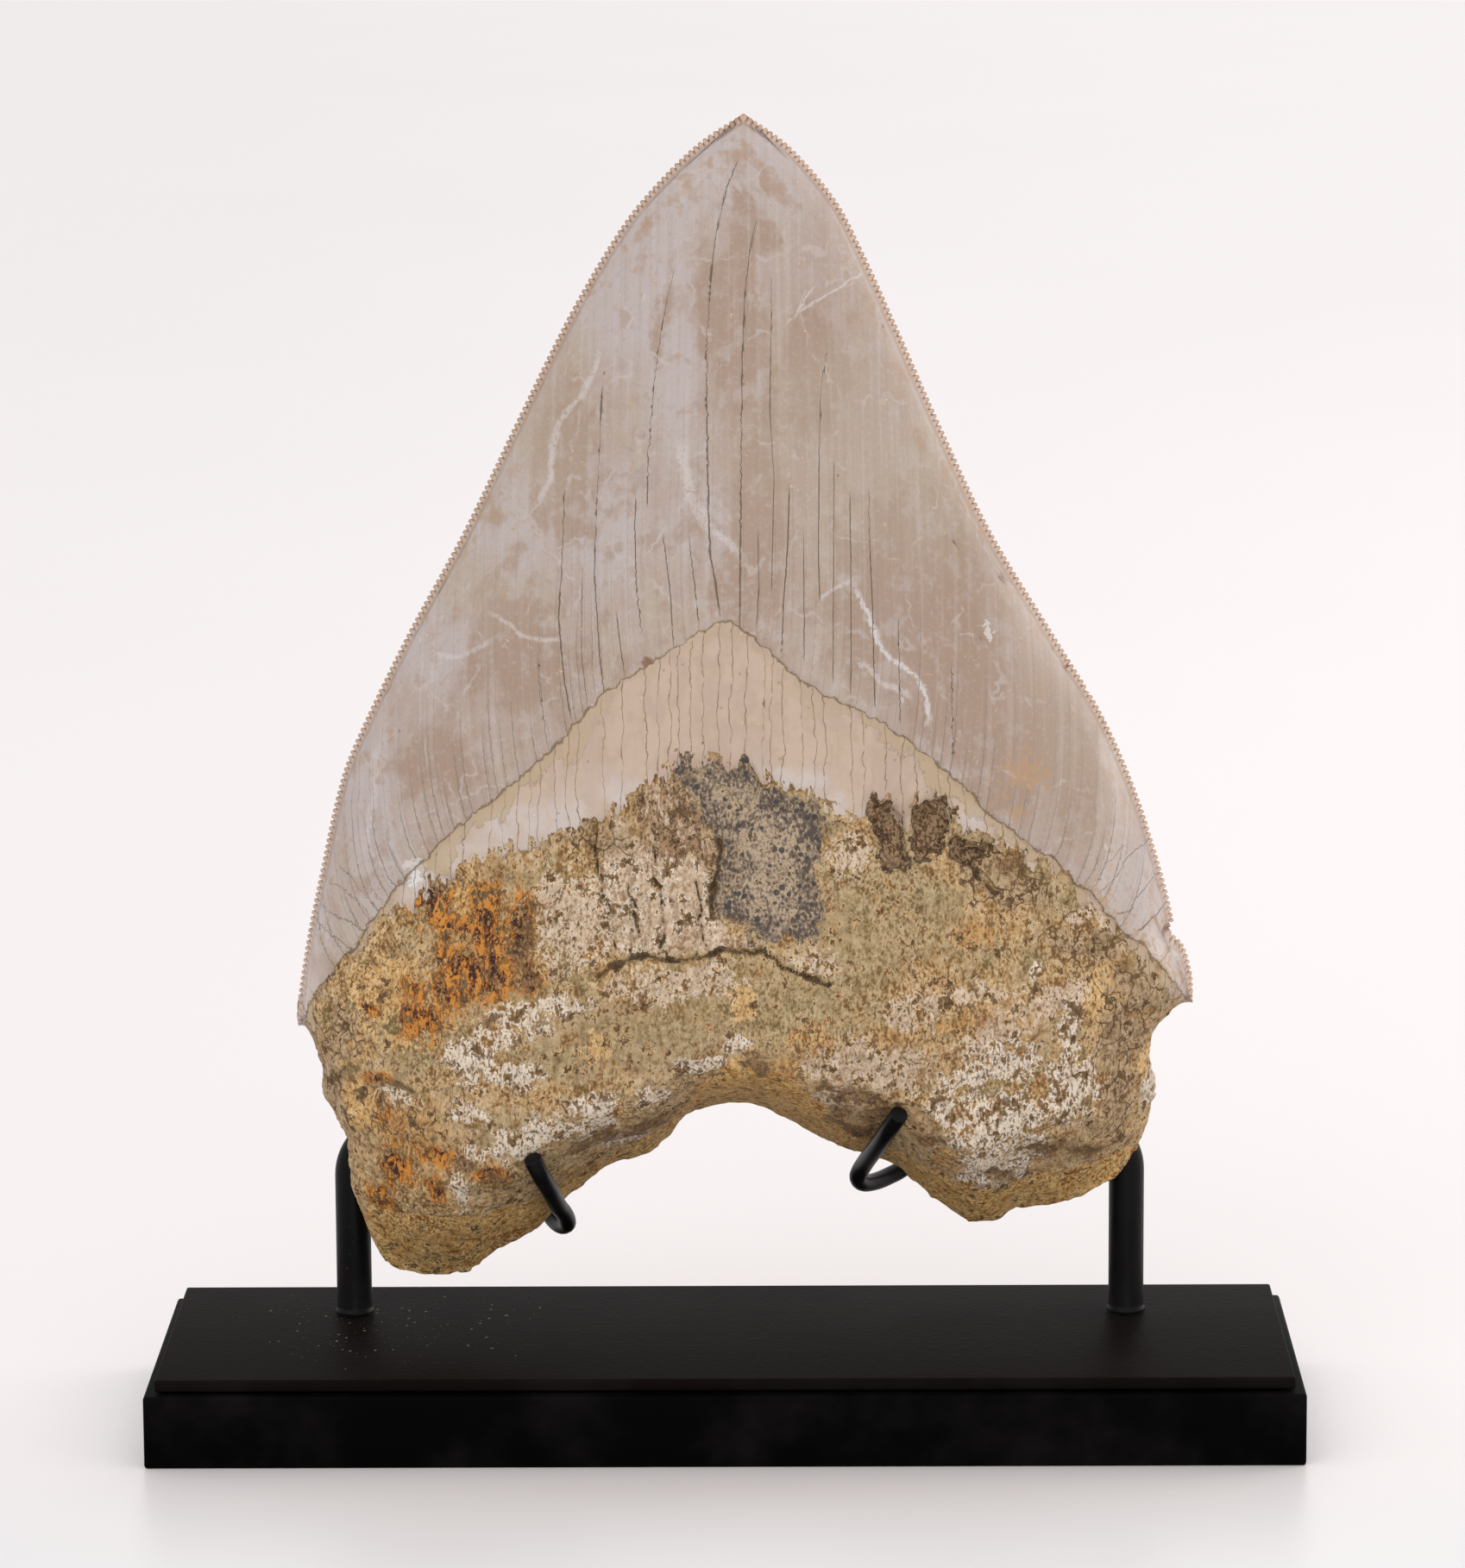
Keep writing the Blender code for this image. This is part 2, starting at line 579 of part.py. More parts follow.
def make_stand(collection):
    """Plinth, top plate, two posts and two hooks."""
    make_block("plinth", (PLINTH_WIDTH, PLINTH_DEPTH, PLINTH_HEIGHT), 0.0,
               PLINTH_ROUNDING, collection)
    plate_bottom = PLINTH_HEIGHT + GAP
    plate_size = (PLINTH_WIDTH - 2 * PLATE_REBATE, PLINTH_DEPTH - 2 * PLATE_REBATE,
                  PLATE_THICKNESS)
    make_block("top_plate", plate_size, plate_bottom, PLATE_ROUNDING, collection)
    floor = plate_bottom + PLATE_THICKNESS
    make_post("left_post", LEFT_POST_X, LEFT_POST_STRAIGHT_TOP, LEFT_ARM_END_X, floor,
              collection)
    make_post("right_post", RIGHT_POST_X, RIGHT_POST_STRAIGHT_TOP, RIGHT_ARM_END_X, floor,
              collection)
    make_hook("left_hook", LEFT_HOOK_ROUTE, collection)
    make_hook("right_hook", RIGHT_HOOK_ROUTE, collection)


def main():
    """Build the tooth and its stand."""
    clear_scene()
    collection = bpy.data.collections.new(COLLECTION_NAME)
    bpy.context.scene.collection.children.link(collection)
    make_tooth(collection)
    make_stand(collection)


if __name__ == "__main__":
    main()
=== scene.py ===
"""Studio scene of a fossil megalodon tooth held on its black two-post stand.

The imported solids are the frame: the tooth's own solid is copied, refined and carved,
and the stand's pieces are modelled again, finer, in the places the solids hold.
Lengths are in millimetres and become metres through MM as they reach the mesh.
"""

import logging
import math
from dataclasses import dataclass, field
from enum import Enum
from typing import Sequence

import bpy
import numpy as np
from mathutils import Matrix, Vector, noise


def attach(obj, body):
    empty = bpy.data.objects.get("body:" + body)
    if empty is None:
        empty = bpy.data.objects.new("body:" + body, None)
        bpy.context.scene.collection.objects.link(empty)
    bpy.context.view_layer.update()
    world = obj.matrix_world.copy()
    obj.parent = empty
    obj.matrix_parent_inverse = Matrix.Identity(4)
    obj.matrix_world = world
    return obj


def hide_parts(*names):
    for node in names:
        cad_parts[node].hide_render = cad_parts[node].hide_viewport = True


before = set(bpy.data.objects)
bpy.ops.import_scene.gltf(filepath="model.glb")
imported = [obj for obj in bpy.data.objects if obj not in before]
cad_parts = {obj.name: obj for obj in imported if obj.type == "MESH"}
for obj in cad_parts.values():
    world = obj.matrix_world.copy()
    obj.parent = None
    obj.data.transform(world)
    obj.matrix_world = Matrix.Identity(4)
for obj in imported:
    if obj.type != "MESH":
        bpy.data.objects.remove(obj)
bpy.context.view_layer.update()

MM = 0.001
# Vertices closer than this are one, in metres
JOIN_WITHIN = 1e-6
ROOT_BODY = "root"
LOG = logging.getLogger("tooth_scene")

Colour = tuple[float, float, float]
Line = Sequence[tuple[float, float]]
Place = tuple[float, float, float]
Route = Sequence[Place]
Array = np.ndarray
Piece = bpy.types.Object
Finish = bpy.types.Material
Group = bpy.types.NodeTree
Node = bpy.types.Node
Socket = bpy.types.NodeSocket
Value = float | Socket


# ---------------------------------------------------------------- outlines, mm

LEFT_CUTTING_EDGE: Line = (
    (3.2, 175.0), (-3.2, 170.8), (-10.0, 164.0), (-14.8, 157.4), (-20.7, 147.2),
    (-27.5, 133.6), (-34.2, 120.0), (-41.9, 106.1), (-48.7, 92.3), (-51.2, 85.4),
    (-53.6, 74.9), (-55.5, 66.0), (-57.0, 56.5), (-56.8, 53.4),
)
RIGHT_CUTTING_EDGE: Line = (
    (3.2, 175.0), (9.1, 170.8), (15.0, 164.0), (18.6, 157.3), (23.2, 147.1),
    (29.2, 133.4), (35.7, 119.7), (44.1, 105.8), (50.3, 95.5), (54.9, 85.0),
    (58.2, 74.6), (59.8, 68.0), (59.5, 66.3), (61.3, 64.2), (62.4, 60.0), (62.4, 56.2),
)
FRONT_ENAMEL_BORDER: Line = (
    (-56.8, 53.4), (-54.2, 59.6), (-50.0, 65.2), (-41.8, 76.0), (-34.8, 83.0),
    (-26.8, 89.6), (-19.8, 96.1), (-15.3, 101.2), (-9.6, 104.8), (-4.0, 108.2),
    (1.1, 110.9), (7.2, 105.9), (11.1, 102.2), (20.1, 97.7), (27.4, 92.4),
    (35.3, 84.6), (45.5, 76.6), (51.2, 70.0), (56.0, 65.0), (60.0, 60.0), (62.4, 56.2),
)
FRONT_BAND_BORDER: Line = (
    (-55.4, 53.0), (-54.5, 56.8), (-53.8, 60.3), (-52.2, 62.7), (-49.6, 65.9),
    (-47.6, 68.0), (-44.6, 70.4), (-41.6, 71.8), (-38.0, 75.6),
    (-33.6, 78.4), (-27.9, 80.8), (-22.2, 81.8), (-15.4, 85.2), (-8.6, 89.4),
    (-5.2, 93.2), (3.8, 92.0), (7.7, 89.7), (18.2, 84.6), (18.9, 87.6), (21.8, 86.8),
    (23.6, 84.8), (24.4, 83.8), (25.2, 86.0), (27.0, 88.0), (29.2, 86.8), (30.2, 83.4),
    (36.4, 81.3), (41.0, 78.2), (45.3, 75.8), (50.5, 70.0), (55.0, 65.3), (58.2, 61.4),
    (61.9, 56.4),
)
BACK_ENAMEL_BORDER: Line = (
    (-56.8, 53.4), (-50.0, 60.4), (-38.0, 65.8), (-20.0, 70.6), (0.0, 74.2),
    (18.0, 71.8), (38.0, 67.4), (52.0, 62.6), (62.4, 56.2),
)
# Where the sloping underside of the root turns into its front
UNDERSIDE_EDGE: Line = (
    (-47.5, 30.0), (-40.0, 30.5), (-34.0, 30.0), (-23.2, 32.0), (-16.3, 35.5),
    (-9.2, 40.5), (-5.7, 44.0), (-3.5, 48.5), (0.3, 53.3), (3.6, 54.8), (7.0, 52.6),
    (10.4, 49.1), (15.5, 44.2), (18.3, 41.0), (25.0, 36.5), (31.0, 33.5),
    (38.0, 33.5), (45.0, 34.5), (56.0, 37.5),
)
# A plain arch through the enamel border, that short cracks stand square on
CRACK_FOOT: Line = (
    (-57.5, 52.0), (-50.0, 65.5), (-40.0, 78.0), (-28.0, 89.5), (-14.0, 101.5),
    (1.0, 109.0), (16.0, 101.5), (30.0, 90.5), (44.0, 78.5), (55.0, 66.5), (63.0, 55.0),
)


# ---------------------------------------------------------------- plane geometry

def smooth_path(points: Line | Route, per_span: int = 12) -> Array:
    """Draw a Catmull-Rom curve through points.

    Args:
        points: The points it passes, in order, flat or in space.
        per_span: Steps between two of them.

    Returns:
        The curve as rows of coordinates.
    """
    knots = np.array([points[0], *points, points[-1]], float)
    path = []
    for a, b, c, d in zip(knots, knots[1:], knots[2:], knots[3:]):
        for step in range(per_span):
            t = step / per_span
            path.append(0.5 * (2 * b + (c - a) * t + (2 * a - 5 * b + 4 * c - d) * t * t
                               + (3 * b - a - 3 * c + d) * t ** 3))
    path.append(knots[-1])
    return np.array(path)


def line_distance(places: Array, line: Line | Array) -> tuple[Array, Array]:
    """Measure places against a polyline.

    Args:
        places: Rows of (x, z).
        line: The polyline's points.

    Returns:
        The distance of each place, and how far along the line its nearest point is.
    """
    points = np.asarray(line, float)
    nearest = np.full(len(places), np.inf)
    reach = np.zeros(len(places))
    start = 0.0
    for a, b in zip(points, points[1:]):
        span = b - a
        length = max(float(np.hypot(*span)), 1e-9)
        share = np.clip((places - a) @ span / length ** 2, 0.0, 1.0)
        off = np.hypot(*(places - a - share[:, None] * span).T)
        closer = off < nearest
        nearest[closer] = off[closer]
        reach[closer] = start + share[closer] * length
        start += length
    return nearest, reach


def height_over(places: Array, border: Line) -> Array:
    """Distance from a border that runs left to right, positive above it.

    Args:
        places: Rows of (x, z).
        border: Its points, left to right.

    Returns:
        One signed distance for each place.
    """
    off, _ = line_distance(places, border)
    level = np.interp(places[:, 0], [p[0] for p in border], [p[1] for p in border])
    return np.where(places[:, 1] >= level, off, -off)


def depth_inside(places: Array, outline: Line) -> Array:
    """Distance from a closed outline, positive inside it.

    Args:
        places: Rows of (x, z).
        outline: Its corners in order.

    Returns:
        One signed distance for each place.
    """
    closed = [*outline, outline[0]]
    off, _ = line_distance(places, closed)
    inside = np.zeros(len(places), bool)
    for (x0, z0), (x1, z1) in zip(closed, closed[1:]):
        spans = (places[:, 1] < z0) != (places[:, 1] < z1)
        if z0 != z1:
            crossing = x0 + (places[:, 1] - z0) * (x1 - x0) / (z1 - z0)
            inside ^= spans & (places[:, 0] < crossing)
    return np.where(inside, off, -off)


def by_height(line: Line) -> Array:
    """A line's points as rows of (z, x), lowest first."""
    return np.array(sorted((z, x) for x, z in line))


def lengths_along(path: Line | Array) -> Array:
    """How far along a path each of its points is."""
    return np.concatenate([[0.0], np.cumsum(np.hypot(*np.diff(path, axis=0).T))])


def ease(values: Array, low: float, high: float) -> Array:
    """Smooth step from 0 at low to 1 at high."""
    t = np.clip((values - low) / (high - low), 0.0, 1.0)
    return t * t * (3.0 - 2.0 * t)


class Pattern(Enum):
    """Independent noises of the surface: the width of the waves in mm, and a layer."""

    GASH_ACROSS = (1.7, 91.0)
    GASH_UP = (1.7, 97.0)
    DRIFT_ACROSS = (6.0, 3.0)
    DRIFT_UP = (6.0, 11.0)
    FRAY_ACROSS = (2.2, 17.0)
    FRAY_UP = (2.2, 23.0)
    WIDE_LUMPS = (3.1, 5.0)
    LUMPS = (1.5, 9.0)
    SMALL_LUMPS = (0.8, 13.0)
    GROOVES = (0.95, 31.0)
    PITS = (1.15, 41.0)
    WIDE_PITS = (2.6, 47.0)
    SAND_GRAINS = (0.62, 53.0)
    CAVITY_RIM = (1.4, 61.0)
    CAVITY_FLOOR = (1.0, 67.0)
    CROWN_WAVES = (5.0, 71.0)
    ENAMEL_TEAR = (1.1, 81.0)
    BAND_BLOCKS = (2.6, 83.0)
    BAND_FRAY = (1.1, 85.0)


def waves(points: Array, pattern: Pattern) -> Array:
    """Smooth noise between -1 and 1.

    Args:
        points: Rows of (x, y, z).
        pattern: Which noise.

    Returns:
        One value for each point.
    """
    size, layer = pattern.value
    rows = (points / size + layer).tolist()
    return np.fromiter((noise.noise(row) for row in rows), float, len(rows))


def push(points: Array, across: Pattern, up: Pattern) -> Array:
    """Two noises side by side, as rows of (x, z)."""
    return np.stack([waves(points, across), waves(points, up)], 1)


# ---------------------------------------------------------------- what the fossil carries

@dataclass(frozen=True)
class Blot:
    """A soft stain, chip or painted highlight on the tooth's front."""

    x: float
    z: float
    half_width: float
    half_height: float

    def share(self, places: Array) -> Array:
        """How much it covers each (x, z), 1 in its middle and a half at its rim."""
        off = ((places[:, 0] - self.x) / self.half_width) ** 2
        off = off + ((places[:, 1] - self.z) / self.half_height) ** 2
        return np.exp2(-off)


class Stain(Enum):
    """Colours that lie on the bone in patches, and the crown's painted highlight."""

    RUST = "rust"
    ORANGE = "orange"
    YELLOW = "yellow"
    CHALK = "chalk"
    PINK = "pink"
    OLIVE = "olive"
    UMBER = "umber"
    CRUST = "crust"
    LAVENDER = "lavender"
    WARM = "warm"
    # Painted highlight on the crown's lit edges, not a colour of the tooth
    PAINTED_HIGHLIGHT = "pale"
    MOSS = "moss"
    COOL = "cool"
    TAN = "tan"


STAINS_AND_HIGHLIGHT: dict[Stain, tuple[tuple[float, float, float, float], ...]] = {
    Stain.RUST: (
        (-38.2, 73.0, 2.9, 2.5), (-35.0, 71.0, 3.4, 0.9), (-30.8, 70.4, 2.0, 5.0),
        (-30.3, 65.2, 2.6, 3.8), (-26.2, 70.0, 1.5, 5.0), (-25.4, 64.2, 1.3, 3.0),
        (-33.3, 64.6, 2.6, 2.6), (-36.6, 61.6, 2.4, 2.8), (-39.5, 61.5, 2.0, 1.3),
        (-39.4, 57.8, 2.3, 2.5), (-36.9, 66.6, 1.3, 2.2), (-46.4, 58.7, 1.0, 1.1),
        (-45.0, 49.0, 2.0, 0.9), (-44.7, 45.1, 1.1, 1.7), (-37.7, 39.3, 2.4, 1.2),
        (-43.5, 37.4, 1.7, 2.6), (-38.6, 34.8, 1.5, 1.7), (-45.3, 31.9, 1.6, 1.4),
        (-28.0, 23.5, 3.0, 0.9), (16.5, 40.5, 2.0, 1.4), (-30.6, 37.2, 2.0, 0.7),
    ),
    Stain.ORANGE: (
        (-31.6, 68.0, 4.2, 6.4), (-38.2, 60.0, 4.2, 3.6), (-42.0, 42.0, 4.4, 5.0),
        (31.8, 57.8, 4.1, 1.6), (34.6, 58.7, 1.6, 1.4), (11.5, 56.3, 2.8, 1.6),
        (7.6, 51.3, 2.5, 1.8), (9.2, 48.0, 1.8, 1.1), (22.7, 56.5, 3.0, 1.4),
        (33.0, 69.3, 2.4, 1.6), (30.7, 46.6, 1.2, 0.8), (41.6, 49.0, 0.8, 1.6),
        (29.7, 38.5, 1.6, 1.1), (-19.0, 34.5, 3.0, 1.2), (28.0, 32.0, 3.0, 1.2),
    ),
    Stain.YELLOW: (
        (-33.5, 73.7, 3.0, 1.8), (-41.7, 54.7, 2.8, 1.8), (-47.7, 46.7, 3.4, 3.4),
        (-49.9, 53.8, 3.0, 4.1), (-44.0, 61.2, 4.6, 4.6), (-47.8, 43.3, 1.6, 1.6),
        (2.6, 61.4, 1.8, 2.3), (-16.6, 55.4, 1.4, 2.1), (56.2, 49.5, 1.8, 2.3),
        (-35.6, 73.6, 2.2, 1.3), (50.0, 60.0, 3.0, 3.0),
    ),
    Stain.CHALK: (
        (-33.0, 53.6, 3.4, 3.0), (-28.0, 51.5, 3.0, 2.1), (-29.6, 56.8, 2.5, 1.6),
        (-26.7, 59.2, 4.1, 1.6), (-22.2, 61.1, 3.4, 1.1), (-43.0, 46.3, 3.4, 1.8),
        (-37.6, 60.8, 1.6, 1.1), (-34.6, 34.4, 1.0, 2.6), (-32.8, 40.0, 2.4, 1.6),
        (-27.0, 41.5, 3.4, 2.1), (-22.4, 43.2, 4.4, 1.9), (-16.7, 46.5, 3.0, 2.8),
        (-13.6, 40.6, 3.4, 1.6), (-8.8, 48.2, 2.5, 1.6), (-2.5, 53.2, 3.7, 1.1),
        (1.4, 55.9, 1.8, 0.9), (-33.2, 46.0, 2.3, 1.4), (37.2, 52.9, 3.9, 2.5),
        (32.0, 50.6, 3.4, 1.8), (30.0, 46.1, 3.0, 2.4), (34.5, 43.6, 5.2, 2.8),
        (36.5, 37.7, 3.9, 3.0), (38.8, 45.2, 3.6, 3.6), (45.9, 48.5, 4.2, 3.8),
        (57.4, 47.0, 1.4, 4.0), (33.1, 34.9, 2.3, 1.6), (41.1, 39.7, 2.3, 1.8),
        (45.4, 55.6, 1.1, 3.4), (41.1, 64.8, 0.7, 1.3), (34.8, 108.4, 0.8, 0.7),
        (-38.3, 62.0, 1.0, 1.6), (-40.0, 76.6, 1.6, 1.2), (34.5, 37.5, 2.6, 2.0),
    ),
    Stain.PINK: (
        (16.5, 80.6, 2.2, 3.0), (13.7, 53.9, 3.9, 2.8), (18.2, 54.3, 4.6, 3.0),
        (22.8, 51.6, 4.6, 3.0), (25.0, 59.4, 3.4, 3.0), (30.6, 61.2, 3.4, 1.4),
        (34.0, 62.1, 4.6, 1.6), (27.3, 61.3, 2.3, 1.6), (14.9, 48.6, 3.4, 2.3),
        (35.1, 56.5, 5.3, 3.4), (43.1, 60.4, 3.4, 2.3), (12.1, 67.3, 2.5, 1.6),
        (-20.0, 72.0, 4.5, 6.0), (-3.0, 64.8, 5.0, 2.0), (-9.0, 63.6, 5.5, 2.2),
        (47.2, 71.2, 2.3, 1.5), (50.8, 69.6, 1.2, 1.4),
    ),
    Stain.OLIVE: (
        (-14.0, 57.6, 6.0, 3.0), (-22.2, 53.6, 6.9, 3.4), (-9.8, 57.3, 10.3, 4.6),
        (1.4, 62.0, 10.3, 4.6), (11.5, 63.0, 6.9, 4.1), (18.3, 69.4, 5.7, 10.3),
        (25.1, 72.4, 4.6, 6.9), (4.8, 58.5, 6.9, 2.3), (-30.3, 43.9, 4.6, 2.3),
        (-40.5, 52.5, 3.4, 1.6), (39.8, 77.0, 5.3, 1.6), (45.5, 73.4, 4.6, 1.6),
    ),
    Stain.UMBER: (
        (13.2, 42.8, 2.8, 1.6), (17.2, 41.6, 3.4, 1.6), (15.5, 45.2, 1.6, 1.1),
        (4.7, 50.8, 1.8, 2.8), (6.3, 46.5, 1.6, 1.4), (-10.1, 42.3, 2.8, 1.1),
        (-15.8, 42.1, 1.8, 1.6), (-19.2, 40.4, 1.8, 1.1), (43.4, 39.6, 3.2, 1.1),
        (36.6, 36.0, 1.4, 0.9), (-33.3, 38.5, 1.6, 0.9), (-42.4, 48.5, 2.3, 0.9),
        (-29.6, 58.4, 1.1, 0.9), (48.1, 38.6, 2.3, 1.1), (-25.5, 67.0, 1.2, 5.0),
        (-29.4, 36.0, 2.0, 0.7), (38.3, 78.6, 1.6, 1.6), (17.6, 48.6, 2.6, 1.2),
        (13.6, 50.4, 1.6, 0.9), (20.6, 45.4, 2.0, 1.1), (26.6, 42.0, 1.8, 1.0),
    ),
    Stain.CRUST: (
        (46.7, 71.0, 3.4, 2.1), (51.2, 66.2, 4.6, 2.3), (54.7, 61.6, 4.6, 2.5),
        (45.5, 67.9, 3.4, 1.6), (57.0, 58.8, 3.0, 1.6), (52.5, 54.5, 2.8, 4.1),
        (38.7, 75.0, 3.0, 1.8), (-38.1, 75.0, 1.8, 1.1), (-50.5, 54.9, 2.3, 3.4),
        (-51.9, 48.3, 1.8, 3.4), (-16.0, 82.0, 3.5, 2.5), (34.0, 77.5, 2.5, 3.0),
        (52.0, 46.0, 2.2, 5.0), (40.2, 89.8, 3.0, 2.0), (57.2, 77.8, 0.8, 1.0),
        (49.2, 96.3, 0.8, 0.5), (37.4, 84.4, 1.6, 0.5),
    ),
    Stain.LAVENDER: (
        (-9.0, 163.0, 7.0, 8.0), (-6.0, 148.0, 3.5, 16.0), (-46.0, 84.0, 4.0, 12.0),
        (-54.0, 70.0, 2.0, 6.0), (57.0, 69.0, 5.0, 8.0), (-28.0, 122.0, 6.0, 8.0),
        (-15.0, 122.5, 4.5, 7.0), (3.0, 168.0, 8.0, 7.0),
        (-2.0, 122.0, 4.0, 5.0), (-12.0, 150.0, 6.0, 6.0), (22.0, 109.0, 2.5, 4.0),
        (-38.0, 106.0, 6.0, 5.0),
    ),
    Stain.WARM: (
        (1.5, 148.0, 4.5, 14.0), (4.0, 118.0, 5.0, 10.0), (-27.0, 104.0, 8.0, 7.0),
        (26.0, 112.0, 9.0, 12.0), (-38.0, 92.0, 6.0, 5.0), (34.0, 100.0, 10.0, 10.0),
        (-19.0, 130.0, 4.0, 8.0), (13.0, 142.0, 4.0, 9.0), (36.0, 86.0, 8.0, 4.0),
        (41.0, 96.0, 7.0, 10.0), (-53.0, 62.0, 2.0, 4.0), (45.5, 92.0, 4.0, 9.0),
    ),
    # Painted highlight: pale strips where light falls on the crown's edges and corners
    Stain.PAINTED_HIGHLIGHT: (
        (51.5, 88.0, 1.6, 12.0),
        (57.0, 64.0, 4.0, 6.0), (43.0, 108.0, 4.0, 10.0), (-55.0, 60.0, 2.5, 6.0),
    ),
    Stain.MOSS: (
        (-24.0, 131.0, 5.0, 8.0), (17.0, 131.0, 8.0, 9.0), (-33.0, 114.0, 6.0, 4.0),
        (15.0, 140.0, 6.0, 5.0), (46.0, 92.0, 4.0, 6.0), (27.0, 126.0, 5.0, 8.0),
    ),
    Stain.COOL: (
        (-26.0, 84.0, 6.5, 2.6), (-33.5, 79.5, 3.5, 1.8), (-39.0, 74.5, 3.0, 1.6),
        (-19.5, 84.5, 3.0, 2.6), (31.5, 83.0, 2.5, 2.6), (9.5, 89.5, 4.0, 2.0),
        (15.0, 86.5, 3.5, 1.6), (-13.0, 88.5, 3.0, 2.0),
    ),
    Stain.TAN: (
        (43.0, 97.0, 5.5, 10.0), (48.5, 84.0, 3.0, 5.0), (33.0, 112.0, 3.0, 8.0),
    ),
}

SAND_PATCH: Line = (
    (-5.1, 94.4), (-4.4, 95.3), (-2.3, 94.2), (-0.4, 92.8), (1.6, 91.8), (2.0, 92.8),
    (4.0, 92.6), (4.9, 89.9), (7.7, 88.8), (9.9, 87.1), (12.2, 86.5), (14.1, 83.1),
    (11.9, 78.3), (12.7, 74.9), (13.3, 72.2), (12.7, 70.5), (10.4, 69.3), (6.0, 69.2),
    (3.7, 70.7), (-1.0, 73.0), (-1.3, 75.2), (0.2, 80.5), (-1.8, 83.3), (-3.2, 87.2),
    (-6.1, 90.5), (-6.3, 92.8),
)
STREAKY_PATCH: Line = (
    (-11.4, 86.6), (-10.2, 88.9), (-8.0, 90.6), (-5.7, 91.0), (-4.1, 88.3), (-2.4, 84.4),
    (-0.2, 81.1), (-1.3, 79.5), (-4.1, 81.1), (-6.3, 80.1), (-8.6, 81.0), (-9.9, 82.1),
)
CRACKED_PATCH: Line = (
    (-14.0, 86.0), (-10.8, 82.1), (-8.6, 81.0), (-5.2, 81.1), (-1.9, 79.5), (-1.2, 76.2),
    (-1.3, 73.0), (0.9, 70.7), (5.4, 68.7), (-0.8, 68.2), (-6.9, 67.5), (-12.6, 67.6),
    (-15.4, 68.4), (-16.2, 75.0), (-15.6, 80.4),
)
CAVITIES: tuple[Line, ...] = (
    ((18.7, 87.6), (20.0, 87.8), (21.7, 86.5), (22.9, 85.9), (24.0, 84.8), (23.6, 82.6),
     (24.0, 80.8), (24.4, 79.1), (23.4, 78.2), (21.1, 78.3), (20.6, 80.4), (20.4, 82.8),
     (18.9, 85.4)),
    ((24.8, 85.4), (26.2, 86.7), (27.1, 88.0), (28.7, 87.1), (29.6, 85.9), (29.9, 84.0),
     (29.2, 82.4), (29.0, 80.4), (27.3, 79.5), (25.6, 79.1), (25.0, 80.8), (24.8, 83.1)),
    ((29.7, 81.5), (30.8, 82.0), (32.5, 81.1), (34.2, 79.6), (33.6, 78.5), (31.7, 78.5),
     (29.8, 79.3)),
)


@dataclass(frozen=True)
class Crack:
    """A crack along given points, top first."""

    points: Line
    width: float


HAIR_CRACKS: tuple[Crack, ...] = (
    Crack(((-24.0, 107.8), (-23.4, 101.3), (-22.5, 95.2)), 0.09),
    Crack(((-20.4, 128.2), (-20.7, 119.5), (-21.2, 110.9), (-20.4, 102.7), (-19.4, 97.3)), 0.15),
    Crack(((-17.9, 119.1), (-18.1, 105.6), (-17.2, 98.0)), 0.08),
    Crack(((-15.3, 141.9), (-15.7, 134.4), (-16.2, 125.6), (-16.5, 116.9), (-15.8, 105.6),
           (-15.1, 100.0)), 0.13),
    Crack(((-13.9, 113.7), (-13.2, 108.2), (-12.3, 102.5)), 0.09),
    Crack(((-11.0, 128.1), (-11.2, 122.8), (-10.8, 115.1), (-10.1, 108.5)), 0.12),
    Crack(((-5.5, 156.9), (-6.7, 152.2), (-7.6, 148.1), (-8.5, 142.2), (-9.5, 131.6),
           (-9.5, 124.8)), 0.12),
    Crack(((-7.8, 123.7), (-6.5, 113.8), (-6.1, 106.5)), 0.09),
    Crack(((-4.1, 123.8), (-3.8, 119.3), (-2.7, 109.4)), 0.09),
    Crack(((3.0, 170.4), (0.9, 165.7), (-0.6, 159.3), (-1.4, 152.3), (-1.9, 145.8),
           (-1.8, 137.6), (-1.6, 125.8), (-1.4, 119.4), (-0.6, 115.0), (0.0, 110.8)), 0.20),
    Crack(((5.3, 163.0), (4.1, 158.1), (3.4, 152.2), (3.0, 143.5), (2.9, 131.7), (2.7, 122.9),
           (2.5, 110.6), (2.7, 101.0), (2.2, 94.0)), 0.17),
    Crack(((4.9, 123.8), (5.0, 114.5), (4.6, 109.3)), 0.09),
    Crack(((6.8, 156.9), (6.8, 149.3), (6.5, 137.5), (7.0, 128.7), (6.6, 113.9)), 0.09),
    Crack(((9.1, 129.3), (8.7, 119.8), (8.1, 112.7), (7.7, 105.0)), 0.13),
    Crack(((10.8, 123.6), (10.9, 104.9)), 0.09),
    Crack(((14.5, 147.2), (13.3, 140.3), (12.9, 131.5), (12.7, 119.2), (12.9, 112.6)), 0.11),
    Crack(((14.8, 132.6), (14.7, 119.7), (14.5, 102.1)), 0.10),
    Crack(((16.8, 128.3), (16.9, 119.6), (16.9, 108.1), (16.8, 100.1)), 0.10),
    Crack(((19.4, 128.2), (19.5, 119.4), (19.8, 107.7), (20.0, 98.7)), 0.13),
    Crack(((23.0, 112.2), (23.2, 96.3)), 0.10),
    Crack(((30.0, 106.3), (30.0, 91.7)), 0.09),
)

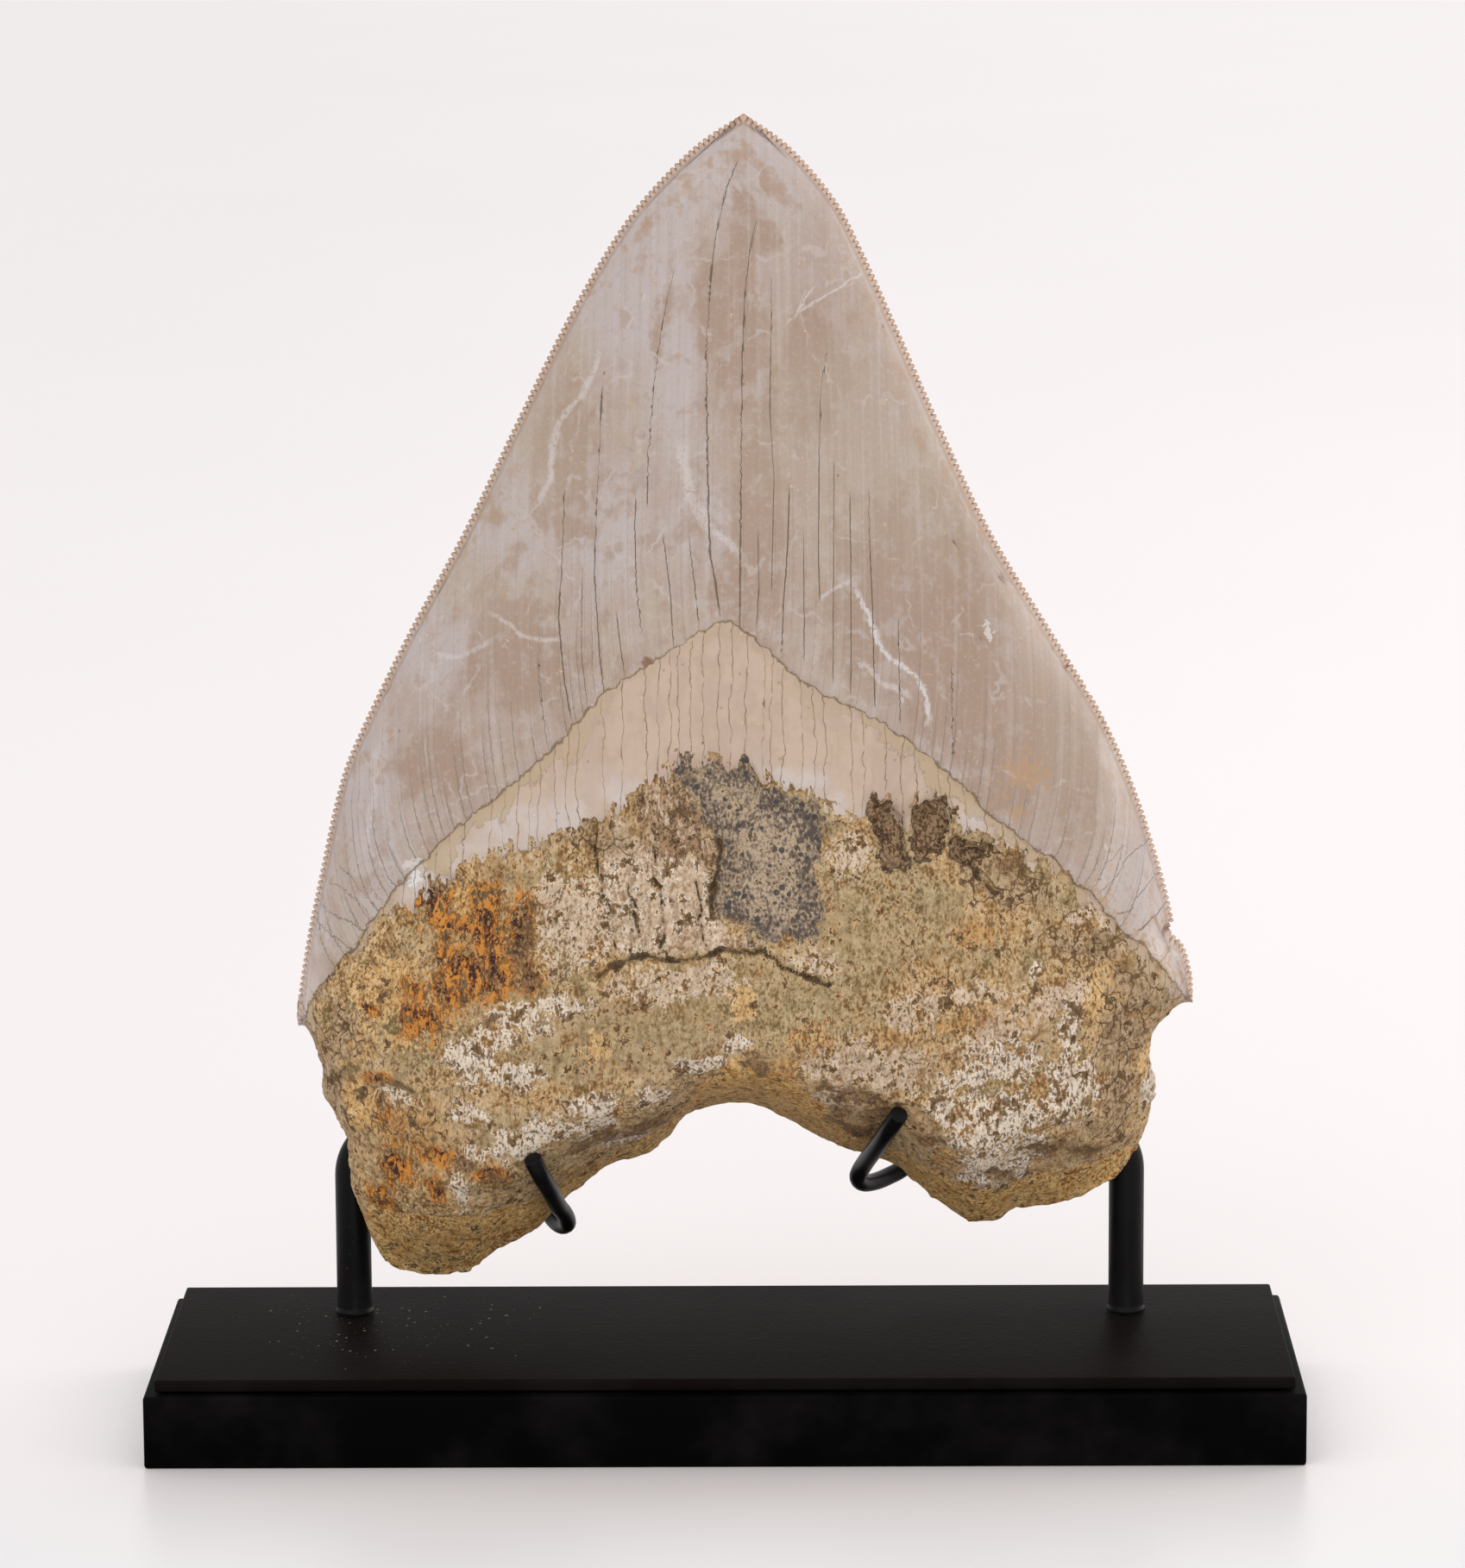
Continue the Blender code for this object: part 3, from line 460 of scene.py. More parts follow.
ROOT_CRACKS: tuple[Crack, ...] = (
    Crack(((-16.1, 64.9), (-12.6, 67.1), (-10.3, 67.9), (-7.5, 67.2), (-4.1, 67.4),
           (-0.8, 68.1), (2.6, 68.2), (4.8, 68.5), (6.3, 67.6), (7.1, 66.5), (9.9, 65.2),
           (13.8, 63.9)), 0.33),
    Crack(((0.0, 82.2), (-0.5, 79.5), (-1.2, 76.2), (-1.0, 73.0)), 0.27),
    Crack(((-8.8, 81.0), (-8.4, 77.3), (-7.9, 72.9), (-7.7, 68.5)), 0.13),
    Crack(((-16.7, 83.1), (-16.5, 79.2), (-14.5, 72.8), (-14.0, 67.4)), 0.12),
    Crack(((-12.2, 77.2), (-11.4, 72.8), (-10.9, 70.1)), 0.12),
    Crack(((-3.2, 77.4), (-2.8, 73.0), (-1.6, 68.1)), 0.13),
    Crack(((31.0, 79.5), (32.5, 77.9), (34.1, 76.4), (35.5, 74.8)), 0.40),
)


class Axis(Enum):
    """The direction a traced line is read along."""

    ACROSS = 0
    UP = 1


@dataclass(frozen=True)
class Vein:
    """A pale healed line in the enamel, narrow enough to be traced in the shader."""

    points: Line
    axis: Axis
    half_width: float
    strength: float
    dark: bool = False


VEINS: tuple[Vein, ...] = (
    Vein(((27.3, 95.7), (26.3, 101.5), (23.7, 104.0), (20.7, 107.1), (19.2, 110.7),
          (16.9, 115.5)), Axis.UP, 0.62, 0.85),
    Vein(((13.0, 112.9), (14.9, 114.5), (16.9, 115.5)), Axis.ACROSS, 0.5, 0.5),
    Vein(((17.0, 105.6), (19.3, 104.0), (21.1, 102.1), (22.9, 101.5), (25.2, 99.8)),
         Axis.ACROSS, 0.6, 0.5),
    Vein(((3.5, 117.6), (1.1, 120.5), (-1.4, 122.3), (-3.8, 127.0), (-5.3, 134.2)),
         Axis.UP, 1.3, 0.45),
    Vein(((-25.0, 123.3), (-22.5, 128.1), (-22.0, 133.0), (-20.0, 136.7), (-17.0, 140.8),
          (-15.8, 145.9)), Axis.UP, 0.6, 0.5),
    Vein(((-30.4, 110.8), (-27.7, 109.4), (-26.1, 108.2), (-23.6, 107.7), (-20.3, 108.0)),
         Axis.ACROSS, 0.45, 0.5),
    Vein(((-38.5, 106.0), (-35.9, 104.7), (-32.2, 106.0), (-29.8, 107.4)),
         Axis.ACROSS, 0.55, 0.4),
    Vein(((-47.5, 78.5), (-46.4, 82.9), (-45.7, 88.4), (-45.6, 93.4)), Axis.UP, 0.8, 0.4),
    Vein(((8.5, 148.1), (11.0, 150.9), (12.2, 153.2)), Axis.UP, 0.25, 0.6),
    Vein(((10.4, 149.8), (14.3, 151.9), (18.8, 154.5)), Axis.ACROSS, 0.3, 0.6),
    Vein(((54.3, 67.9), (57.2, 69.5), (60.1, 71.6)), Axis.ACROSS, 0.22, 0.85, True),
    Vein(((51.4, 70.9), (53.3, 70.8), (54.6, 72.4), (58.3, 75.0)), Axis.ACROSS, 0.11, 0.8, True),
    Vein(((49.2, 73.4), (51.1, 74.8), (52.9, 77.1), (54.9, 78.4), (57.6, 79.1)),
         Axis.ACROSS, 0.12, 0.8, True),
    Vein(((48.6, 74.8), (50.0, 76.7), (51.4, 78.1), (53.0, 79.3)), Axis.ACROSS, 0.10, 0.7, True),
    Vein(((-54.9, 69.2), (-51.9, 67.8), (-48.9, 66.1)), Axis.ACROSS, 0.13, 0.85, True),
    Vein(((-53.9, 71.3), (-50.8, 70.1), (-49.0, 69.7), (-47.3, 69.0), (-45.6, 69.6)),
         Axis.ACROSS, 0.12, 0.75, True),
    Vein(((-52.4, 74.2), (-49.9, 73.6), (-47.9, 72.1), (-46.2, 70.8)),
         Axis.ACROSS, 0.11, 0.7, True),
    Vein(((-51.0, 76.6), (-48.2, 74.9), (-46.8, 73.3), (-45.2, 71.3)),
         Axis.ACROSS, 0.12, 0.75, True),
    Vein(((-46.5, 76.6), (-45.8, 74.2), (-45.0, 73.2), (-43.2, 72.6)),
         Axis.ACROSS, 0.10, 0.7, True),
)


# ---------------------------------------------------------------- shader wiring

class Wiring:
    """Short calls that add and join shader nodes in one tree."""

    def __init__(self, tree: Group) -> None:
        """Work on the tree given."""
        self.tree = tree

    def feed(self, socket: Socket, value: object) -> None:
        """Link a socket to the input, or set the input's own value.

        Args:
            socket: The input.
            value: A socket, colour, vector or number.
        """
        if isinstance(value, Socket):
            self.tree.links.new(value, socket)
        elif isinstance(value, tuple) and socket.type == "RGBA":
            socket.default_value = (*value[:3], 1.0)
        else:
            socket.default_value = value

    def add(self, kind: str, inputs: dict[object, object] | None = None,
            **settings: object) -> Node:
        """Add a node.

        Args:
            kind: The node's type.
            inputs: Values or sockets by input name or number.
            settings: The node's own properties.

        Returns:
            The new node.
        """
        made = self.tree.nodes.new(kind)
        for name, value in settings.items():
            setattr(made, name, value)
        for name, value in (inputs or {}).items():
            self.feed(made.inputs[name], value)
        return made

    def maths(self, operation: str, a: Value, b: Value = 0.0) -> Socket:
        """Arithmetic on one or two numbers."""
        return self.add("ShaderNodeMath", {0: a, 1: b}, operation=operation).outputs[0]

    def fold(self, operation: str, values: Sequence[Value]) -> Socket:
        """Run one operation through several numbers in order.

        Args:
            operation: What joins two of them.
            values: The numbers.

        Returns:
            The result.
        """
        result = values[0]
        for value in values[1:]:
            result = self.maths(operation, result, value)
        return result

    def times(self, *factors: Value) -> Socket:
        """Product of several numbers."""
        return self.fold("MULTIPLY", factors)

    def plus(self, *terms: Value) -> Socket:
        """Sum of several numbers."""
        return self.fold("ADD", terms)

    def most(self, *values: Value) -> Socket:
        """The largest of several numbers."""
        return self.fold("MAXIMUM", values)

    def inverse(self, value: Value) -> Socket:
        """One minus a number."""
        return self.maths("SUBTRACT", 1.0, value)

    def apart(self, a: Value, b: Value) -> Socket:
        """How far two numbers are from each other."""
        return self.maths("ABSOLUTE", self.maths("SUBTRACT", a, b))

    def smooth(self, value: Value, low: Value, high: Value, top: Value = 1.0) -> Socket:
        """Smooth step from 0 at low to top at high, which may be the smaller one."""
        return self.add("ShaderNodeMapRange", {0: value, 1: low, 2: high, 3: 0.0, 4: top},
                        interpolation_type="SMOOTHSTEP").outputs[0]

    def shift(self, value: Value, low: Value, high: Value, start: Value, end: Value) -> Socket:
        """Straight map from one range to another, unclamped."""
        return self.add("ShaderNodeMapRange", {0: value, 1: low, 2: high, 3: start, 4: end},
                        clamp=False).outputs[0]

    def mix(self, share: Value, a: object, b: object) -> Socket:
        """Blend two colours by the share of the second."""
        return self.add("ShaderNodeMix", {0: share, 6: a, 7: b}, data_type="RGBA",
                        blend_type="MIX").outputs[2]

    def between(self, share: Value, a: Value, b: Value) -> Socket:
        """Blend two numbers by the share of the second."""
        return self.add("ShaderNodeMix", {0: share, 2: a, 3: b}, data_type="FLOAT").outputs[0]

    def stretch(self, vector: Socket, scale: Place) -> Socket:
        """Scale a vector by axis."""
        return self.add("ShaderNodeVectorMath", {0: vector, 1: scale},
                        operation="MULTIPLY").outputs[0]

    def noise(self, vector: Socket, scale: float, detail: float = 2.0,
              rough: float = 0.5, distortion: float = 0.0) -> Socket:
        """Fractal noise around a half."""
        return self.add("ShaderNodeTexNoise", {
            "Vector": vector, "Scale": scale, "Detail": detail, "Roughness": rough,
            "Distortion": distortion}).outputs[0]

    def stripes(self, position: Socket, scale: float) -> Socket:
        """Distance from unevenly spaced lines along one direction, in cell widths."""
        return self.add("ShaderNodeTexVoronoi", {"W": position, "Scale": scale},
                        voronoi_dimensions="1D",
                        feature="DISTANCE_TO_EDGE").outputs["Distance"]

    def cells(self, vector: Socket, scale: float, feature: str = "F1") -> Node:
        """Cell pattern."""
        return self.add("ShaderNodeTexVoronoi", {"Vector": vector, "Scale": scale},
                        feature=feature)

    def warped(self, place: Socket, scale: float, reach: float) -> Socket:
        """A place pushed about by a wandering noise, up to half the reach each way.

        Args:
            place: The place.
            scale: How fine the noise is.
            reach: How far it pushes.

        Returns:
            The moved place.
        """
        wander = self.add("ShaderNodeTexNoise", {"Vector": place, "Scale": scale}).outputs[1]
        step = self.add("ShaderNodeVectorMath", {0: wander, 1: (0.5, 0.5, 0.5)},
                        operation="SUBTRACT").outputs[0]
        return self.add("ShaderNodeVectorMath", {
            0: step, 1: (reach, reach, reach), 2: place}, operation="MULTIPLY_ADD").outputs[0]

    def red(self, colour: Socket) -> Socket:
        """First channel of a random cell colour."""
        return self.add("ShaderNodeSeparateColor", {0: colour}).outputs[0]

    def split(self, vector: Socket) -> tuple[Socket, Socket, Socket]:
        """The three parts of a vector."""
        parts = self.add("ShaderNodeSeparateXYZ", {0: vector}).outputs
        return parts[0], parts[1], parts[2]

    def join(self, x: Value, y: Value, z: Value) -> Socket:
        """A vector from its three parts."""
        return self.add("ShaderNodeCombineXYZ", {0: x, 1: y, 2: z}).outputs[0]

    def millimetres(self) -> Socket:
        """The place on the piece, in millimetres."""
        place = self.add("ShaderNodeTexCoord").outputs["Object"]
        return self.stretch(place, (1 / MM, 1 / MM, 1 / MM))

    def triple(self, name: str) -> tuple[Socket, Socket, Socket]:
        """Three measures kept at the vertices under one name."""
        kept = self.add("ShaderNodeAttribute", attribute_name=name,
                        attribute_type="GEOMETRY")
        return self.split(kept.outputs["Vector"])

    def group(self, tree: Group, inputs: dict[object, object]) -> Node:
        """Place a shared effect with its own values.

        Args:
            tree: The effect.
            inputs: Values or sockets by input name.

        Returns:
            The placed node.
        """
        made = self.tree.nodes.new("ShaderNodeGroup")
        made.node_tree = tree
        for name, value in inputs.items():
            self.feed(made.inputs[name], value)
        return made


def shared_effect(name: str, inputs: dict[str, object], outputs: Sequence[str],
                  colours: Sequence[str] = ()) -> tuple[Wiring, Node, Node]:
    """Start a shader group with named sockets.

    Args:
        name: The group's name.
        inputs: Input names with their default values; a tuple makes a vector.
        outputs: Names of the numbers it gives out.
        colours: Names of the colours it gives out.

    Returns:
        Its wiring, its input node and its output node.
    """
    tree = bpy.data.node_groups.new(name, "ShaderNodeTree")
    for socket, value in inputs.items():
        kind = "NodeSocketVector" if isinstance(value, tuple) else "NodeSocketFloat"
        made = tree.interface.new_socket(socket, in_out="INPUT", socket_type=kind)
        made.default_value = value
    for socket in outputs:
        tree.interface.new_socket(socket, in_out="OUTPUT", socket_type="NodeSocketFloat")
    for socket in colours:
        tree.interface.new_socket(socket, in_out="OUTPUT", socket_type="NodeSocketColor")
    return Wiring(tree), tree.nodes.new("NodeGroupInput"), tree.nodes.new("NodeGroupOutput")


class Effects:
    """Shader groups that more than one material uses."""

    def __init__(self) -> None:
        """Build every group once."""
        self.specks = self.build_specks()
        self.mottle = self.build_mottle()

    def spots(self, w: Wiring, place: Socket, per_mm: float, share: Value, size: float) -> Socket:
        """Place the speck group with one material's own numbers."""
        return w.group(self.specks, {"Place": place, "Per mm": per_mm, "Share": share,
                                     "Size": size}).outputs["Mask"]

    def build_specks(self) -> Group:
        """Scattered small spots.

        Returns:
            The group.
        """
        w, given, out = shared_effect(
            "specks", {"Place": (0.0, 0.0, 0.0), "Per mm": 1.0, "Share": 0.2, "Size": 0.3},
            ("Mask",))
        place = w.warped(given.outputs["Place"], 2.5, 0.35)
        cell = w.add("ShaderNodeTexVoronoi", {"Vector": place, "Scale": given.outputs["Per mm"]})
        chance = w.red(cell.outputs["Color"])
        chosen = w.maths("LESS_THAN", chance, given.outputs["Share"])
        core = w.times(given.outputs["Size"], 0.5)
        spot = w.smooth(cell.outputs["Distance"], given.outputs["Size"], core)
        w.feed(out.inputs["Mask"], w.times(spot, chosen))
        return w.tree

    def build_mottle(self) -> Group:
        """Cloudy unevenness with firm contrast.

        Returns:
            The group.
        """
        w, given, out = shared_effect(
            "mottle", {"Place": (0.0, 0.0, 0.0), "Per mm": 0.3, "Low": 0.35, "High": 0.65},
            ("Value",))
        cloud = w.add("ShaderNodeTexNoise", {
            "Vector": given.outputs["Place"], "Scale": given.outputs["Per mm"],
            "Detail": 4.0, "Roughness": 0.6}).outputs[0]
        value = w.smooth(cloud, given.outputs["Low"], given.outputs["High"])
        w.feed(out.inputs["Value"], value)
        return w.tree


def new_material(name: str) -> tuple[Finish, Wiring, Node]:
    """A material with its wiring and its Principled shader.

    Args:
        name: The material's name.

    Returns:
        The material, its wiring and its shader.
    """
    material = bpy.data.materials.new(name)
    material.use_nodes = True
    tree = material.node_tree
    return material, Wiring(tree), tree.nodes["Principled BSDF"]


def add_relief(w: Wiring, shader: Node, height: Socket) -> None:
    """Bump the surface by a height in millimetres."""
    bump = w.add("ShaderNodeBump", {"Height": height, "Distance": MM, "Strength": 1.0})
    w.feed(shader.inputs["Normal"], bump.outputs[0])


# ---------------------------------------------------------------- finishes

# Where the three tones of a surface stand on its noise
DARK_STOP, MIDDLE_STOP, LIGHT_STOP = 0.40, 0.485, 0.59


@dataclass(frozen=True)
class Tones:
    """Dark, middle and light colour of one kind of surface."""

    dark: Colour
    middle: Colour
    light: Colour

    def ramp(self, w: Wiring, value: Socket) -> Socket:
        """Spread the tones over a noise value.

        Args:
            w: The wiring of the look.
            value: The noise.

        Returns:
            The colour.
        """
        made = w.add("ShaderNodeValToRGB", {0: value})
        stops = made.color_ramp.elements
        stops[0].position = DARK_STOP
        stops[0].color = (*self.dark, 1.0)
        stops[1].position = LIGHT_STOP
        stops[1].color = (*self.light, 1.0)
        stops.new(MIDDLE_STOP).color = (*self.middle, 1.0)
        return made.outputs[0]


@dataclass
class Fields:
    """The tooth in a look: measures kept at its vertices, and the colour laid so far."""

    w: Wiring
    colour: Socket | None = None

    def __post_init__(self) -> None:
        """Read each kept triple."""
        w = self.w
        self.place = w.millimetres()
        self.x, self.y, self.z = w.split(self.place)
        self.enamel, self.band, self.edge = w.triple("layers")
        self.fan, self.saw, self.front = w.triple("flow")
        self.phase, self.gap, self.width = w.triple("hair_cracks")
        self.sand, self.under, self.cavity = w.triple("patches")
        self.streaky, self.cracked, self.gash = w.triple("breaks")
        self.rust, self.orange, self.yellow = w.triple("warm_stains")
        self.chalk, self.pink, self.olive = w.triple("pale_stains")
        self.umber, self.crust, self.cool = w.triple("dark_stains")
        # The last triple holds the lavender and warm tints and the mask of the painted highlight
        self.lavender, self.warm, self.pale = w.triple("tints_and_highlight")
        self.moss, self.notch, self.tan = w.triple("extras")

    def around(self, noise_value: Socket, reach: float) -> Socket:
        """A noise as an offset of up to the reach each way."""
        return self.w.shift(noise_value, 0.0, 1.0, -reach, reach)

    def lay(self, share: Value, over: object) -> None:
        """Cover the colour so far with a share of another."""
        self.colour = self.w.mix(share, self.colour, over)


@dataclass(frozen=True)
class EnamelLook:
    """The crown: tinted enamel, hair cracks, healed lines and the saw edge."""

    pink: Colour = (0.395, 0.302, 0.250)
    lavender: Colour = (0.452, 0.392, 0.378)
    moss: Colour = (0.42, 0.342, 0.265)
    warm: Colour = (0.330, 0.228, 0.166)
    # Colour of the painted highlight on the crown's lit edges
    pale: Colour = (0.56, 0.475, 0.425)
    tan: Colour = (0.31, 0.21, 0.14)
    vein_white: Colour = (0.60, 0.56, 0.55)
    crack_olive: Colour = (0.085, 0.062, 0.028)
    crack_grey: Colour = (0.19, 0.155, 0.12)
    bead: Colour = (0.57, 0.37, 0.24)
    # Dark brown of specks and nicks, and the painted shade in the gaps between the beads
    bead_gap: Colour = (0.22, 0.115, 0.06)
    soil: Colour = (0.42, 0.26, 0.14)
    flake: Colour = (0.70, 0.66, 0.64)

    def group(self, effects: Effects) -> Group:
        """Build the look as a group.

        Args:
            effects: The shared effects.

        Returns:
            The group.
        """
        w, _, out = shared_effect("enamel_look", {}, ("Height", "Roughness"), ("Color",))
        f = Fields(w)
        clouds = w.noise(w.stretch(f.place, (1.0, 1.0, 0.5)), 0.11, 4.0, 0.62, 0.6)
        drift = w.noise(f.place, 0.28, 3.0, 0.65)
        fine = w.noise(f.place, 1.9, 2.0, 0.6)
        f.colour = w.mix(w.smooth(clouds, 0.42, 0.62), self.pink, self.moss)
        cool = w.plus(f.lavender, f.around(drift, 1.1))
        f.lay(w.smooth(cool, -0.05, 0.75, 0.85), self.lavender)
        warm = w.plus(f.warm, f.around(clouds, 1.4), f.around(drift, 0.7))
        f.lay(w.smooth(warm, 0.1, 0.75, 0.9), self.warm)
        f.lay(w.smooth(drift, 0.52, 0.66, 0.40), self.warm)
        f.lay(w.smooth(drift, 0.47, 0.34, 0.40), self.lavender)
        f.lay(w.times(f.moss, 0.5), self.moss)
        # Painted highlight along the crown's lit edges
        f.lay(w.times(f.pale, 0.75), self.pale)
        f.lay(w.times(f.tan, 0.5), self.tan)
        grain = w.noise(w.join(w.times(f.fan, 1.1), 0.0, w.times(f.z, 0.035)), 1.0, 3.0, 0.55)
        f.lay(w.smooth(grain, 0.50, 0.70, 0.16), self.vein_white)
        f.lay(w.smooth(grain, 0.50, 0.32, 0.24), self.warm)
        f.lay(w.smooth(fine, 0.56, 0.70, 0.14), self.vein_white)
        f.lay(w.smooth(fine, 0.44, 0.30, 0.16), self.warm)
        self.veins(f, drift, fine)
        height = self.cracks(f, grain, fine)
        self.spots(f, effects, drift)
        self.saw(f)
        w.feed(out.inputs["Color"], f.colour)
        w.feed(out.inputs["Height"], height)
        w.feed(out.inputs["Roughness"], w.plus(0.34, w.times(grain, 0.16)))
        return w.tree

    def vein(self, w: Wiring, vein: Vein, bent: tuple[Socket, Socket]) -> Socket:
        """How strongly one healed line shows here.

        Args:
            w: The wiring of the look.
            vein: The line.
            bent: The place across and up, pushed by noise.

        Returns:
            A mask.
        """
        along, across = (bent[1], bent[0]) if vein.axis is Axis.UP else bent
        pairs = [(p[1], p[0]) if vein.axis is Axis.UP else p for p in vein.points]
        start, end = pairs[0][0], pairs[-1][0]
        low = min(value for _, value in pairs)
        span = max(max(value for _, value in pairs) - low, 1e-3)
        reach = w.shift(along, start, end, 0.0, 1.0)
        curve = w.add("ShaderNodeFloatCurve", {"Value": reach})
        points = curve.mapping.curves[0].points
        points[0].location = (0.0, (pairs[0][1] - low) / span)
        points[-1].location = (1.0, (pairs[-1][1] - low) / span)
        for at, value in pairs[1:-1]:
            points.new((at - start) / (end - start), (value - low) / span)
        curve.mapping.update()
        middle = w.shift(curve.outputs[0], 0.0, 1.0, low, low + span)
        off = w.apart(across, middle)
        ends = w.times(reach, w.inverse(reach), 9.0)
        ends = w.maths("MINIMUM", w.maths("MAXIMUM", ends, 0.0), 1.0)
        return w.times(w.smooth(off, vein.half_width, vein.half_width * 0.2), ends,
                       vein.strength)

    def veins(self, f: Fields, drift: Socket, fine: Socket) -> None:
        """Lay pale healed lines, the traced ones and a faint web.

        Args:
            f: The tooth.
            drift: A wide noise.
            fine: A fine noise.
        """
        w = f.w
        web = w.cells(w.warped(f.place, 0.35, 5.0), 0.085, "DISTANCE_TO_EDGE")
        web = w.times(w.smooth(web.outputs["Distance"], 0.035, 0.0),
                      w.smooth(drift, 0.46, 0.60))
        f.lay(w.times(web, 0.32), self.vein_white)
        bent = (w.plus(f.x, f.around(fine, 0.45), f.around(drift, 1.2)),
                w.plus(f.z, f.around(fine, 0.4)))
        pale, dark = ([self.vein(w, vein, bent) for vein in VEINS if vein.dark is kind]
                      for kind in (False, True))
        healed = w.times(w.most(*pale), w.smooth(fine, 0.30, 0.46), f.front)
        f.lay(healed, self.vein_white)
        f.lay(w.times(w.most(*dark), f.front), self.crack_olive)

    def cracks(self, f: Fields, grain: Socket, fine: Socket) -> Socket:
        """Lay long hair cracks, and short ones that stand on the border.

        Args:
            f: The tooth.
            grain: The upright grain.
            fine: A fine noise.

        Returns:
            The height.
        """
        w = f.w
        phase = w.plus(f.phase, f.around(fine, 0.04))
        turn = w.apart(w.maths("FRACT", phase), 0.5)
        off = w.times(w.maths("SUBTRACT", 0.5, turn), f.gap)
        broken = w.smooth(grain, 0.36, 0.50)
        width = w.times(w.maths("MAXIMUM", f.width, 0.001), w.plus(0.4, w.times(broken, 0.4)))
        ratio = w.maths("DIVIDE", off, width)
        long_line = w.times(w.smooth(ratio, 1.0, 0.3), w.smooth(f.width, 0.02, 0.09))
        lean = w.plus(f.fan, f.around(fine, 0.22))
        each = w.noise(w.join(lean, 0.0, 0.0), 0.9, 1.0)
        length = w.plus(-14.0, w.times(each, 52.0))
        foot = w.smooth(f.enamel, length, w.times(length, 0.3))
        far = w.apart(f.fan, 3.0)
        kept = w.smooth(w.noise(w.join(lean, 5.0, 0.0), 1.9, 0.0), 0.36, 0.46)
        short = w.times(w.smooth(w.stripes(lean, 0.80), 0.080, 0.015), foot, kept,
                        w.smooth(far, 14.0, 22.0))
        thin = w.times(w.smooth(w.stripes(w.plus(lean, 37.0), 0.55), 0.035, 0.008),
                       w.smooth(f.enamel, 40.0, 8.0), broken)
        faint = w.most(w.times(short, 0.85), w.times(thin, 0.42))
        f.lay(faint, self.crack_grey)
        f.lay(w.times(long_line, 0.85), self.crack_olive)
        return w.plus(w.times(long_line, -0.10), w.times(fine, 0.012))

    def spots(self, f: Fields, effects: Effects, drift: Socket) -> None:
        """Lay dark specks, pale nicks and brown soiling.

        Args:
            f: The tooth.
            effects: The shared effects.
            drift: A wide noise.
        """
        w = f.w
        dark = effects.spots(w, f.place, 0.33, 0.05, 0.085)
        nicks = effects.spots(w, w.stretch(f.place, (1.0, 1.0, 0.45)), 0.30, 0.14, 0.10)
        f.lay(w.times(nicks, 0.5), self.vein_white)
        f.lay(w.times(dark, 0.8), self.bead_gap)
        soil = w.times(w.smooth(drift, 0.53, 0.64), w.smooth(f.edge, 8.0, 1.0))
        f.lay(w.times(soil, 0.35), self.soil)
        torn = w.noise(f.place, 0.9, 3.0, 0.7)
        clod = w.smooth(w.plus(f.crust, f.around(torn, 1.6)), 0.40, 0.60)
        f.lay(w.times(clod, 0.7), self.soil)
        flake = w.smooth(w.plus(f.chalk, f.around(torn, 1.2)), 0.45, 0.60)
        f.lay(w.times(flake, 0.6), self.flake)
        f.lay(w.smooth(f.notch, 0.35, 0.7), self.bead_gap)

    def saw(self, f: Fields) -> None:
        """Lay tan beads along the cutting edges, with painted shade in the gaps between them.

        Args:
            f: The tooth.
        """
        w = f.w
        rim = w.smooth(f.edge, 1.0, 0.5)
        turn = w.apart(w.maths("FRACT", f.saw), 0.5)
        # Painted shade in the gaps between the beads
        gap = w.times(w.smooth(turn, 0.25, 0.42), w.smooth(f.edge, 0.95, 0.65))
        line = w.times(w.smooth(f.edge, 0.75, 0.95), w.smooth(f.edge, 1.3, 1.0))
        f.lay(w.times(rim, 0.8), self.bead)
        f.lay(w.times(line, 0.35), self.bead_gap)
        f.lay(w.times(gap, 0.9), self.bead_gap)


